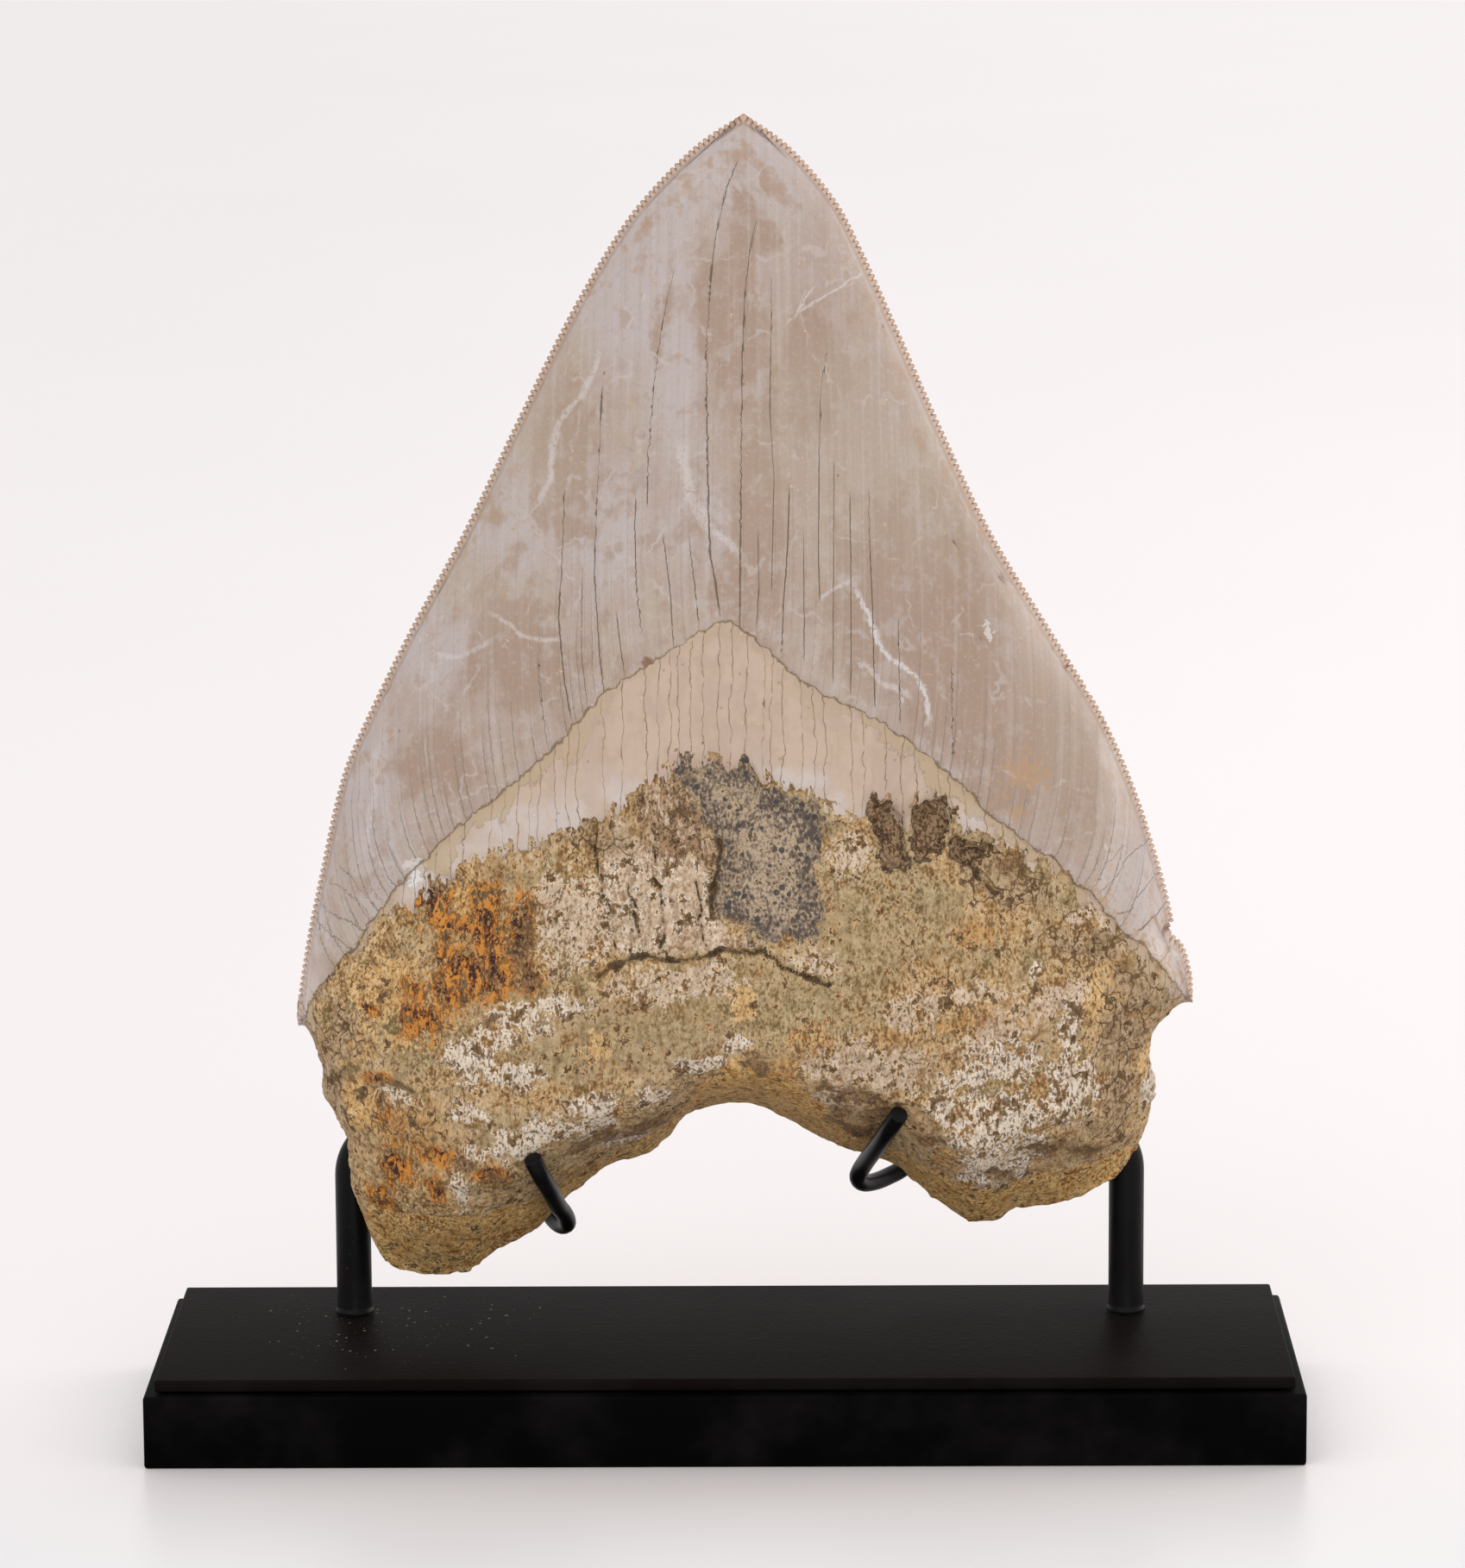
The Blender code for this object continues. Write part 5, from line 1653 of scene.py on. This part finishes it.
    def stains(self) -> dict[Stain, Array]:
        """The share of every stain and of the painted highlight, the back carrying a mirrored
        relative of each.

        Returns:
            One share for each point, by stain.
        """
        wander = push(self.points, Pattern.DRIFT_ACROSS, Pattern.DRIFT_UP)
        fine = push(self.points, Pattern.FRAY_ACROSS, Pattern.FRAY_UP)
        places = self.flat + 1.3 * wander + 0.9 * fine
        behind = places * (-1.0, 0.94) + (4.0, -1.0)
        places = np.where(self.front[:, None], places, behind)
        return {kind: np.max([Blot(*spot).share(places) for spot in spots], 0)
                for kind, spots in STAINS_AND_HIGHLIGHT.items()}


@dataclass
class FossilTooth:
    """The tooth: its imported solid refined, its saw edge rounded and its root carved."""

    finish: FossilFinish
    node: str = "tooth"
    slot: str = "fossil_tooth"
    # Faces are halved on the front and the root, and again this far before the edge's plane
    root_margin: float = 1.5
    fine_depth: float = 3.0
    crease_degrees: float = 62.0
    # How far two triangles may lean and skew to become one four-sided face
    lean_degrees: float = 50.0
    skew_degrees: float = 60.0
    cavity_depth: float = 1.1
    gash_depth: float = 0.75
    nick_depth: float = 0.45
    sand_depth: float = 0.45
    crown_waviness: float = 0.06
    piece: Piece = field(init=False)
    arrays: MeshArrays = field(init=False)

    def build(self) -> Piece:
        """Make the whole piece.

        Returns:
            The finished piece.
        """
        self.copy_solid()
        self.smooth_once()
        self.refine()
        zones = self.zones()
        survey = Survey(self.arrays.points())
        self.write_measures(survey)
        points = self.shape_saw(survey)
        points = self.shape_surface(survey, points)
        self.arrays.move_to(points)
        make_active(self.piece)
        bpy.ops.object.shade_smooth_by_angle(angle=math.radians(self.crease_degrees))
        settle(self.piece, self.node, self.slot, *self.finish.materials())
        self.piece.data.polygons.foreach_set("material_index", zones)
        return self.piece

    def copy_solid(self) -> None:
        """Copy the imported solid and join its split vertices."""
        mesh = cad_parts[self.node].data.copy()
        self.piece = bpy.data.objects.new(self.node + "_look", mesh)
        bpy.context.scene.collection.objects.link(self.piece)
        self.arrays = MeshArrays(mesh)
        make_active(self.piece)
        open_shape()
        bpy.ops.mesh.remove_doubles(threshold=JOIN_WITHIN)
        bpy.ops.mesh.tris_convert_to_quads(face_threshold=math.radians(self.lean_degrees),
                                           shape_threshold=math.radians(self.skew_degrees))
        bpy.ops.mesh.normals_make_consistent(inside=False)
        bpy.ops.object.mode_set(mode="OBJECT")

    def smooth_once(self) -> None:
        """Round the facets, keeping the cutting edge sharp."""
        mesh = self.piece.data
        survey = Survey(self.arrays.points())
        y, z = self.arrays.points()[:, 1], survey.flat[:, 1]
        sharp = (np.abs(y - survey.plane) < 2e-3) & (survey.edge < 0.8) & (z > CROWN_FOOT)
        ends = np.empty(2 * len(mesh.edges), np.int32)
        mesh.edges.foreach_get("vertices", ends)
        creased = sharp[ends.reshape(-1, 2)].all(1)
        crease = mesh.attributes.new("crease_edge", "FLOAT", "EDGE")
        crease.data.foreach_set("value", creased.astype(np.float32))
        smoother = self.piece.modifiers.new("round_facets", "SUBSURF")
        smoother.levels = smoother.render_levels = 1
        make_active(self.piece)
        bpy.ops.object.modifier_apply(modifier=smoother.name)
        self.piece.data.attributes.remove(self.piece.data.attributes["crease_edge"])
        self.arrays = MeshArrays(self.piece.data)

    def refine(self) -> None:
        """Divide the faces where the surface carries finer shapes."""
        for only_front_root in (False, True):
            centres = self.arrays.centres()
            survey = Survey(centres)
            chosen = survey.edge > SAW_STRIP
            chosen |= survey.flat[:, 1] < LOBES_TOP
            root = survey.band < self.root_margin
            if only_front_root:
                chosen &= root & (centres[:, 1] < survey.plane - self.fine_depth)
            else:
                chosen &= survey.front | root
            self.arrays.select_faces(chosen)
            make_active(self.piece)
            bpy.context.tool_settings.mesh_select_mode = (False, False, True)
            bpy.ops.object.mode_set(mode="EDIT")
            bpy.ops.mesh.subdivide(number_cuts=1, smoothness=0.8)
            bpy.ops.object.mode_set(mode="OBJECT")
            LOG.info("divided %d of %d faces", int(chosen.sum()), len(centres))

    def zones(self) -> Array:
        """Number each face by its material: enamel, border zone, bone.

        Returns:
            One number for each face.
        """
        survey = Survey(self.arrays.centres())
        zones = np.where(survey.enamel > ENAMEL_ZONE, 0, 1)
        return np.where(survey.band < BONE_ZONE, 2, zones).astype(np.int32)

    def write_measures(self, survey: Survey) -> None:
        """Store every measure that the finish reads.

        Args:
            survey: The tooth's points.
        """
        keep = self.arrays.keep
        front = survey.front.astype(float)
        keep("layers", survey.enamel, survey.band, survey.edge)
        keep("flow", survey.fan(), survey.saw, front)
        keep("hair_cracks", *survey.hair_cracks())
        sand, streaky, cracked, *cavities = (
            survey.on_front(depth_inside(survey.flat, outline), FAR_OUTSIDE)
            for outline in (SAND_PATCH, STREAKY_PATCH, CRACKED_PATCH, *CAVITIES))
        under = survey.on_front(height_over(survey.flat, UNDERSIDE_EDGE), -FAR_OUTSIDE)
        keep("patches", sand, under, np.max(cavities, 0))
        keep("breaks", streaky, cracked, survey.gashes())
        stains = survey.stains()
        for name, kinds in (
                ("warm_stains", (Stain.RUST, Stain.ORANGE, Stain.YELLOW)),
                ("pale_stains", (Stain.CHALK, Stain.PINK, Stain.OLIVE)),
                ("dark_stains", (Stain.UMBER, Stain.CRUST, Stain.COOL)),
                # The mask of the painted highlight is kept with the two tints
                ("tints_and_highlight", (Stain.LAVENDER, Stain.WARM, Stain.PAINTED_HIGHLIGHT))):
            keep(name, *(stains[kind] for kind in kinds))
        keep("extras", stains[Stain.MOSS], survey.on_front(survey.nicks(), 0.0),
             stains[Stain.TAN])

    def shape_saw(self, survey: Survey) -> Array:
        """Round each serration into a bead with a sharp gap beside it.

        Args:
            survey: The tooth's points.

        Returns:
            The moved points.
        """
        points = survey.points.copy()
        _, y, z = survey.points.T
        lean = y - survey.plane
        outline = (np.abs(lean) < 0.03) & (survey.edge < 0.75) & (z > CROWN_FOOT)
        phase = survey.saw % 1.0
        wanted = SERRATION_DEPTH * (1.0 - np.sqrt(np.clip(1.0 - (2.0 * phase - 1.0) ** 2,
                                                          0.0, 1.0)))
        for on_right in (False, True):
            side = survey.on_right == on_right
            rim = outline & side
            order = np.argsort(survey.reach[rim])
            now = np.interp(survey.reach, survey.reach[rim][order], survey.edge[rim][order])
            path = smooth_path(RIGHT_CUTTING_EDGE if on_right else LEFT_CUTTING_EDGE)
            lengths = lengths_along(path)
            nearest = np.stack([np.interp(survey.reach * lengths[-1], lengths, path[:, k])
                                for k in (0, 1)], 1)
            inward = survey.flat - nearest
            inward /= np.maximum(np.hypot(*inward.T), 0.03)[:, None]
            weight = np.clip(1.0 - (survey.edge - now) / 1.0, 0.0, 1.0) ** 2
            along = survey.reach * lengths[-1]
            weight *= ease(along, 0.0, 0.8) * ease(lengths[-1] - along, 0.0, 0.8)
            weight = np.where(side & (z > CROWN_FOOT), weight, 0.0)
            step = (wanted - now) * weight
            step = np.where(survey.edge < 0.03, 0.0, step)
            points[:, 0] += inward[:, 0] * step
            points[:, 2] += inward[:, 1] * step
            gap = np.clip(np.abs(2.0 * phase - 1.0) - 0.35, 0.0, 1.0) / 0.65
            near = np.clip(1.0 - (survey.edge - 0.2) / 1.1, 0.0, 1.0)
            thin = np.where(side & (z > CROWN_FOOT), 0.5 * gap * near, 0.0)
            points[:, 1] -= (points[:, 1] - survey.plane) * thin
        return points

    def shape_surface(self, survey: Survey, points: Array) -> Array:
        """Carve the root's pores, cracks and hollows and the crown's faint waves.

        Args:
            survey: The tooth's points.
            points: The points with their saw edge.

        Returns:
            The carved points.
        """
        normals = self.arrays.normals()
        at = survey.points
        z = at[:, 2]
        bone = ease(survey.band, 0.9, -1.6) * ease(survey.edge, 0.3, 2.5)
        bone = np.where(z < LOBES_TOP, ease(survey.band, 0.9, -1.6), bone)
        lumps = 0.36 * waves(at, Pattern.WIDE_LUMPS) + 0.24 * waves(at, Pattern.LUMPS)
        lumps += 0.16 * waves(at, Pattern.SMALL_LUMPS)
        grooves = waves(at * (1.0, 1.0, 0.28), Pattern.GROOVES)
        pits = np.clip(waves(at, Pattern.PITS) - 0.22, 0.0, 1.0)
        wide_pits = np.clip(waves(at, Pattern.WIDE_PITS) - 0.30, 0.0, 1.0)
        calm = survey.on_front(ease(height_over(survey.flat, UNDERSIDE_EDGE), -1.5, 1.5), 0.7)
        height = lumps + 0.16 * grooves - 1.1 * pits - 1.6 * wide_pits
        height *= 0.35 + 0.65 * calm
        sand = survey.on_front(ease(depth_inside(survey.flat, SAND_PATCH), -0.3, 0.6), 0.0)
        grit = -self.sand_depth + 0.22 * waves(at, Pattern.SAND_GRAINS) + 0.12 * lumps
        height = height * (1.0 - sand) + grit * sand
        torn = 0.6 * waves(at, Pattern.CAVITY_RIM)
        for outline in CAVITIES:
            inside = ease(depth_inside(survey.flat, outline) + torn, -0.25, 0.55)
            floor = self.cavity_depth + 0.5 * waves(at, Pattern.CAVITY_FLOOR)
            height -= survey.on_front(inside, 0.0) * floor
        height -= self.gash_depth * survey.gashes()
        height *= bone
        faint = self.crown_waviness * waves(at, Pattern.CROWN_WAVES)
        height += (1.0 - bone) * faint * ease(survey.edge, 0.5, 3.0)
        height -= survey.on_front(survey.nicks(), 0.0) * self.nick_depth
        hooks = np.min([np.linalg.norm(at - station, axis=1)
                        for route in (LEFT_HOOK_ROUTE, RIGHT_HOOK_ROUTE)
                        for station in smooth_path(route, HOOK_CHECK_STEPS)], 0)
        near = 1.0 - ease(hooks, 2.6, 5.0)
        height = np.where(height > 0.0, height * (1.0 - near), height)
        points = points + normals * height[:, None]
        return self.tear_borders(survey, points)

    def tear_borders(self, survey: Survey, points: Array) -> Array:
        """Make the steps between enamel, band and bone uneven.

        Args:
            survey: The tooth's points.
            points: The carved points.

        Returns:
            The same points, moved up and down.
        """
        at = survey.points
        fade = survey.on_front(ease(survey.edge, 1.5, 5.0), 0.0)
        upper = np.exp2(-(survey.enamel / 1.5) ** 2) * fade
        lower = np.exp2(-(survey.band / 1.8) ** 2) * fade
        points[:, 2] += 0.55 * upper * waves(at * (1.0, 0.0, 0.3), Pattern.ENAMEL_TEAR)
        blocks = np.round(waves(at * (1.0, 0.0, 0.3), Pattern.BAND_BLOCKS) * 4.0) / 4.0
        fray = waves(at * (1.0, 0.0, 0.3), Pattern.BAND_FRAY)
        points[:, 2] += lower * (1.3 * blocks + 0.35 * fray)
        return points


# ---------------------------------------------------------------- the stand

BLOCK_CREASE = 40.0
ROD_CREASE = 50.0
PLINTH_WIDTH = 152.4
PLINTH_DEPTH = 50.8
PLINTH_HEIGHT = 9.7
PLATE_REBATE = 1.4
PLATE_FOOT = 10.0
PLATE_HEIGHT = 1.6
INCH = 25.4
POST_RADIUS = 3.0 / 32.0 * INCH
POST_Y = 9.6
POST_FOOT = 11.9
POST_BEND = 6.5
HOOK_RADIUS = 3.0 / 64.0 * INCH
HOOK_CHECK_STEPS = 6
LEFT_HOOK_ROUTE = (
    (-30.6, 9.6, 37.5), (-27.4, 9.6, 37.5), (-25.6, 9.6, 34.6), (-25.0, 9.4, 28.8),
    (-23.7, 7.6, 25.8), (-22.3, 4.6, 25.2), (-21.3, 1.6, 26.2), (-21.5, -1.8, 28.3),
    (-22.2, -5.8, 30.5), (-23.1, -13.2, 34.6), (-24.1, -18.3, 37.9), (-25.0, -20.0, 40.4),
)
RIGHT_HOOK_ROUTE = (
    (31.6, 9.6, 38.0), (28.4, 9.6, 38.0), (26.4, 9.6, 34.8), (24.2, 9.3, 32.0),
    (22.0, 7.2, 31.2), (20.0, 4.4, 31.1), (18.4, 1.6, 31.7), (17.8, -0.8, 33.2),
    (18.6, -3.4, 35.5), (20.2, -11.0, 39.7), (21.6, -17.2, 43.4), (23.0, -20.5, 46.3),
)


@dataclass
class Block:
    """A flat black block with softened edges."""

    node: str
    slot: str
    width: float
    depth: float
    height: float
    bottom: float
    rounding: float
    material: Finish
    segments: int = 5

    def build(self) -> Piece:
        """Shape a cube and bevel it.

        Returns:
            The finished piece.
        """
        clear_selection()
        bpy.ops.mesh.primitive_cube_add(size=1.0)
        piece = bpy.context.object
        open_shape()
        bpy.ops.transform.resize(value=(self.width * MM, self.depth * MM, self.height * MM))
        middle = (self.bottom + self.height / 2.0) * MM
        bpy.ops.transform.translate(value=(0.0, 0.0, middle))
        bpy.ops.mesh.bevel(offset=self.rounding * MM, segments=self.segments, profile=0.5)
        close_shape(BLOCK_CREASE)
        return settle(piece, self.node, self.slot, self.material)


@dataclass
class Post:
    """A round rod that rises from a ring of paint and weld and bends into an arm."""

    node: str
    x: float
    straight_top: float
    arm_end: float
    material: Finish
    slot: str = "black_rod"
    sides: int = 40
    straight_steps: int = 4
    bend_steps: int = 16
    cut_length: float = 0.3
    # Step and thinning of each ring of the rounded cut end
    cut_end: tuple[tuple[float, float], ...] = ((0.18, 0.96), (0.12, 0.90))
    # Height over the foot and widening of each ring of the weld
    weld: tuple[tuple[float, float], ...] = (
        (0.0, 1.10), (0.12, 1.12), (0.34, 1.10), (0.52, 1.06), (0.7, 1.02), (0.92, 1.0),
    )

    def extrude_to(self, step: Place, scale: float = 1.0) -> None:
        """Extrude the open ring, move it and resize it.

        Args:
            step: The move in millimetres.
            scale: The resize.
        """
        bpy.ops.mesh.extrude_region_move(
            TRANSFORM_OT_translate={"value": tuple(part * MM for part in step)})
        if scale != 1.0:
            bpy.ops.transform.resize(value=(scale, scale, scale))

    def build(self) -> Piece:
        """Extrude and spin a ring into the post.

        Returns:
            The finished piece.
        """
        clear_selection()
        bpy.ops.mesh.primitive_circle_add(vertices=self.sides, radius=1.0)
        piece = bpy.context.object
        open_shape()
        start = POST_RADIUS * self.weld[0][1] * MM
        bpy.ops.transform.resize(value=(start, start, start))
        bpy.ops.transform.translate(value=(self.x * MM, POST_Y * MM, POST_FOOT * MM))
        for (low, before), (high, after) in zip(self.weld, self.weld[1:]):
            self.extrude_to((0.0, 0.0, high - low), after / before)
        rise = self.straight_top - POST_FOOT - self.weld[-1][0]
        for _ in range(self.straight_steps):
            self.extrude_to((0.0, 0.0, rise / self.straight_steps))
        inward = math.copysign(1.0, self.arm_end - self.x)
        centre = ((self.x + inward * POST_BEND) * MM, POST_Y * MM, self.straight_top * MM)
        bpy.ops.mesh.spin(steps=self.bend_steps, angle=math.pi / 2, center=centre,
                          axis=(0.0, -inward, 0.0))
        run = self.arm_end - self.x - inward * POST_BEND
        self.extrude_to((run - inward * self.cut_length, 0.0, 0.0))
        for step, thinning in self.cut_end:
            self.extrude_to((inward * step, 0.0, 0.0), thinning)
        bpy.ops.mesh.select_all(action="SELECT")
        bpy.ops.mesh.fill_holes(sides=0)
        bpy.ops.mesh.select_all(action="SELECT")
        bpy.ops.mesh.normals_make_consistent(inside=False)
        close_shape(ROD_CREASE)
        return settle(piece, self.node, self.slot, self.material)


@dataclass
class Hook:
    """A thinner rod from an arm, under the root and up in front of it."""

    node: str
    route: Route
    material: Finish
    slot: str = "black_rod"
    steps: int = 8
    rounds: int = 6
    # Where the cut ends start to round, as a share of the last step, and their thinning
    start_inset: float = 0.12
    start_width: float = 0.9
    end_inset: float = 0.25
    end_width: float = 0.88

    def build(self) -> Piece:
        """Bevel a curve into a rod with slightly rounded cut ends.

        Returns:
            The finished piece.
        """
        line = smooth_path(self.route, self.steps)
        first = line[0] + (line[1] - line[0]) * self.start_inset
        last = line[-1] + (line[-2] - line[-1]) * self.end_inset
        stations = np.vstack([line[:1], first, line[1:-1], last, line[-1:]])
        radii = [self.start_width, *[1.0] * len(line), self.end_width]
        data = bpy.data.curves.new(self.node, "CURVE")
        data.dimensions = "3D"
        data.bevel_depth = HOOK_RADIUS * MM
        data.bevel_resolution = self.rounds
        data.use_fill_caps = True
        spline = data.splines.new("POLY")
        spline.points.add(len(stations) - 1)
        for knot, station, radius in zip(spline.points, stations, radii):
            knot.co = (*(station * MM), 1.0)
            knot.radius = radius
        piece = bpy.data.objects.new(self.node, data)
        bpy.context.scene.collection.objects.link(piece)
        make_active(piece)
        bpy.ops.object.convert(target="MESH")
        open_shape()
        bpy.ops.mesh.remove_doubles(threshold=JOIN_WITHIN)
        bpy.ops.mesh.normals_make_consistent(inside=False)
        close_shape(ROD_CREASE)
        return settle(bpy.context.object, self.node, self.slot, self.material)


# ---------------------------------------------------------------- the studio

@dataclass(frozen=True)
class SoftLight:
    """A square softbox aimed at the tooth."""

    name: str
    place: Place
    size: float
    watts: float
    colour: Colour = (1.0, 1.0, 1.0)
    aim: Place = (0.0, 0.0, 0.08)

    def add(self) -> None:
        """Hang the light."""
        data = bpy.data.lights.new(self.name, "AREA")
        data.shape = "SQUARE"
        data.size = self.size
        data.energy = self.watts
        data.color = self.colour
        lamp = bpy.data.objects.new(self.name, data)
        lamp.location = self.place
        facing = Vector(self.aim) - Vector(self.place)
        lamp.rotation_euler = facing.to_track_quat("-Z", "Y").to_euler()
        bpy.context.scene.collection.objects.link(lamp)


@dataclass
class Studio:
    """Pale floor, soft light and the camera."""

    lights: Sequence[SoftLight] = (
        SoftLight("key", (-0.45, -0.85, 0.95), 0.7, 1.9, (1.0, 0.985, 0.97)),
        SoftLight("low_fill", (0.1, -1.2, 0.06), 0.6, 1.9, (1.0, 0.985, 0.97)),
        SoftLight("rim", (1.0, 0.45, 0.5), 0.6, 2.2, (1.0, 0.97, 0.95)),
    )
    overhead: Colour = (1.06, 1.04, 1.045)
    horizon: Colour = (0.87, 0.865, 0.87)
    bright_side: Colour = (1.21, 1.175, 1.165)
    floor_radius: float = 12.0
    camera_place: Place = (9.8, -859.8, 245.16)
    pitch: float = 10.458
    yaw: float = -0.568
    roll: float = -0.329
    lens: float = 151.485
    sensor_width: float = 36.0
    far_clip: float = 100.0
    floor_sides: int = 96

    def build(self) -> None:
        """Set the whole stage."""
        self.lay_floor()
        self.light()
        self.set_camera()

    def lay_floor(self) -> None:
        """A wide round floor under the plinth."""
        clear_selection()
        bpy.ops.mesh.primitive_circle_add(vertices=self.floor_sides, radius=self.floor_radius,
                                          fill_type="NGON")
        floor = bpy.context.object
        floor.name = "floor"
        floor.data.materials.append(FloorFinish().material())

    def light(self) -> None:
        """Even bright surroundings and the softboxes."""
        world = bpy.data.worlds.new("soft_room")
        world.use_nodes = True
        w = Wiring(world.node_tree)
        across, _, up = w.split(w.add("ShaderNodeTexCoord").outputs["Generated"])
        level = w.mix(w.smooth(across, -0.13, 0.13), self.horizon, self.bright_side)
        colour = w.mix(w.smooth(up, 0.0, 0.8), level, self.overhead)
        w.feed(world.node_tree.nodes["Background"].inputs["Color"], colour)
        bpy.context.scene.world = world
        for light in self.lights:
            light.add()

    def set_camera(self) -> None:
        """Place the camera by its pitch, yaw and roll."""
        pitch, yaw, roll = map(math.radians, (self.pitch, self.yaw, self.roll))
        forward = Vector((math.sin(yaw) * math.cos(pitch), math.cos(yaw) * math.cos(pitch),
                          -math.sin(pitch)))
        level = Vector((math.cos(yaw), -math.sin(yaw), 0.0))
        upright = level.cross(forward)
        right = level * math.cos(roll) + upright * math.sin(roll)
        top = upright * math.cos(roll) - level * math.sin(roll)
        turn = Matrix((right, top, -forward)).transposed().to_4x4()
        data = bpy.data.cameras.new("camera")
        data.lens = self.lens
        data.sensor_width = self.sensor_width
        data.clip_end = self.far_clip
        camera = bpy.data.objects.new("camera", data)
        camera.matrix_world = Matrix.Translation(Vector(self.camera_place) * MM) @ turn
        bpy.context.scene.collection.objects.link(camera)
        bpy.context.scene.camera = camera


def main() -> None:
    """Build the tooth, its stand and the studio."""
    logging.basicConfig(level=logging.INFO, format="%(message)s")
    bpy.context.scene.view_settings.view_transform = "Standard"
    effects = Effects()
    lacquer = PaintFinish("black_plinth", effects, (0.0012, 0.0012, 0.0014), 0.5, 0.8, 0.004,
                          0.03, 0.015).material()
    plate = PaintFinish("black_plate", effects, (0.0055, 0.0038, 0.0032), 0.5, 1.5, 0.05,
                        0.22, 0.011).material()
    rods = PaintFinish("black_rod", effects, (0.0035, 0.0033, 0.0034), 0.36, 1.4, 0.02,
                       0.05, 0.10).material()
    FossilTooth(FossilFinish(effects)).build()
    Block("plinth", "black_plinth", PLINTH_WIDTH, PLINTH_DEPTH, PLINTH_HEIGHT, 0.0, 0.45,
          lacquer).build()
    Block("top_plate", "black_plate", PLINTH_WIDTH - 2 * PLATE_REBATE,
          PLINTH_DEPTH - 2 * PLATE_REBATE, PLATE_HEIGHT, PLATE_FOOT, 0.3, plate).build()
    Post("left_post", -50.6, 31.0, -31.0, rods).build()
    Post("right_post", 54.2, 31.5, 32.0, rods).build()
    Hook("left_hook", LEFT_HOOK_ROUTE, rods).build()
    Hook("right_hook", RIGHT_HOOK_ROUTE, rods).build()
    Studio().build()


if __name__ == "__main__":
    main()
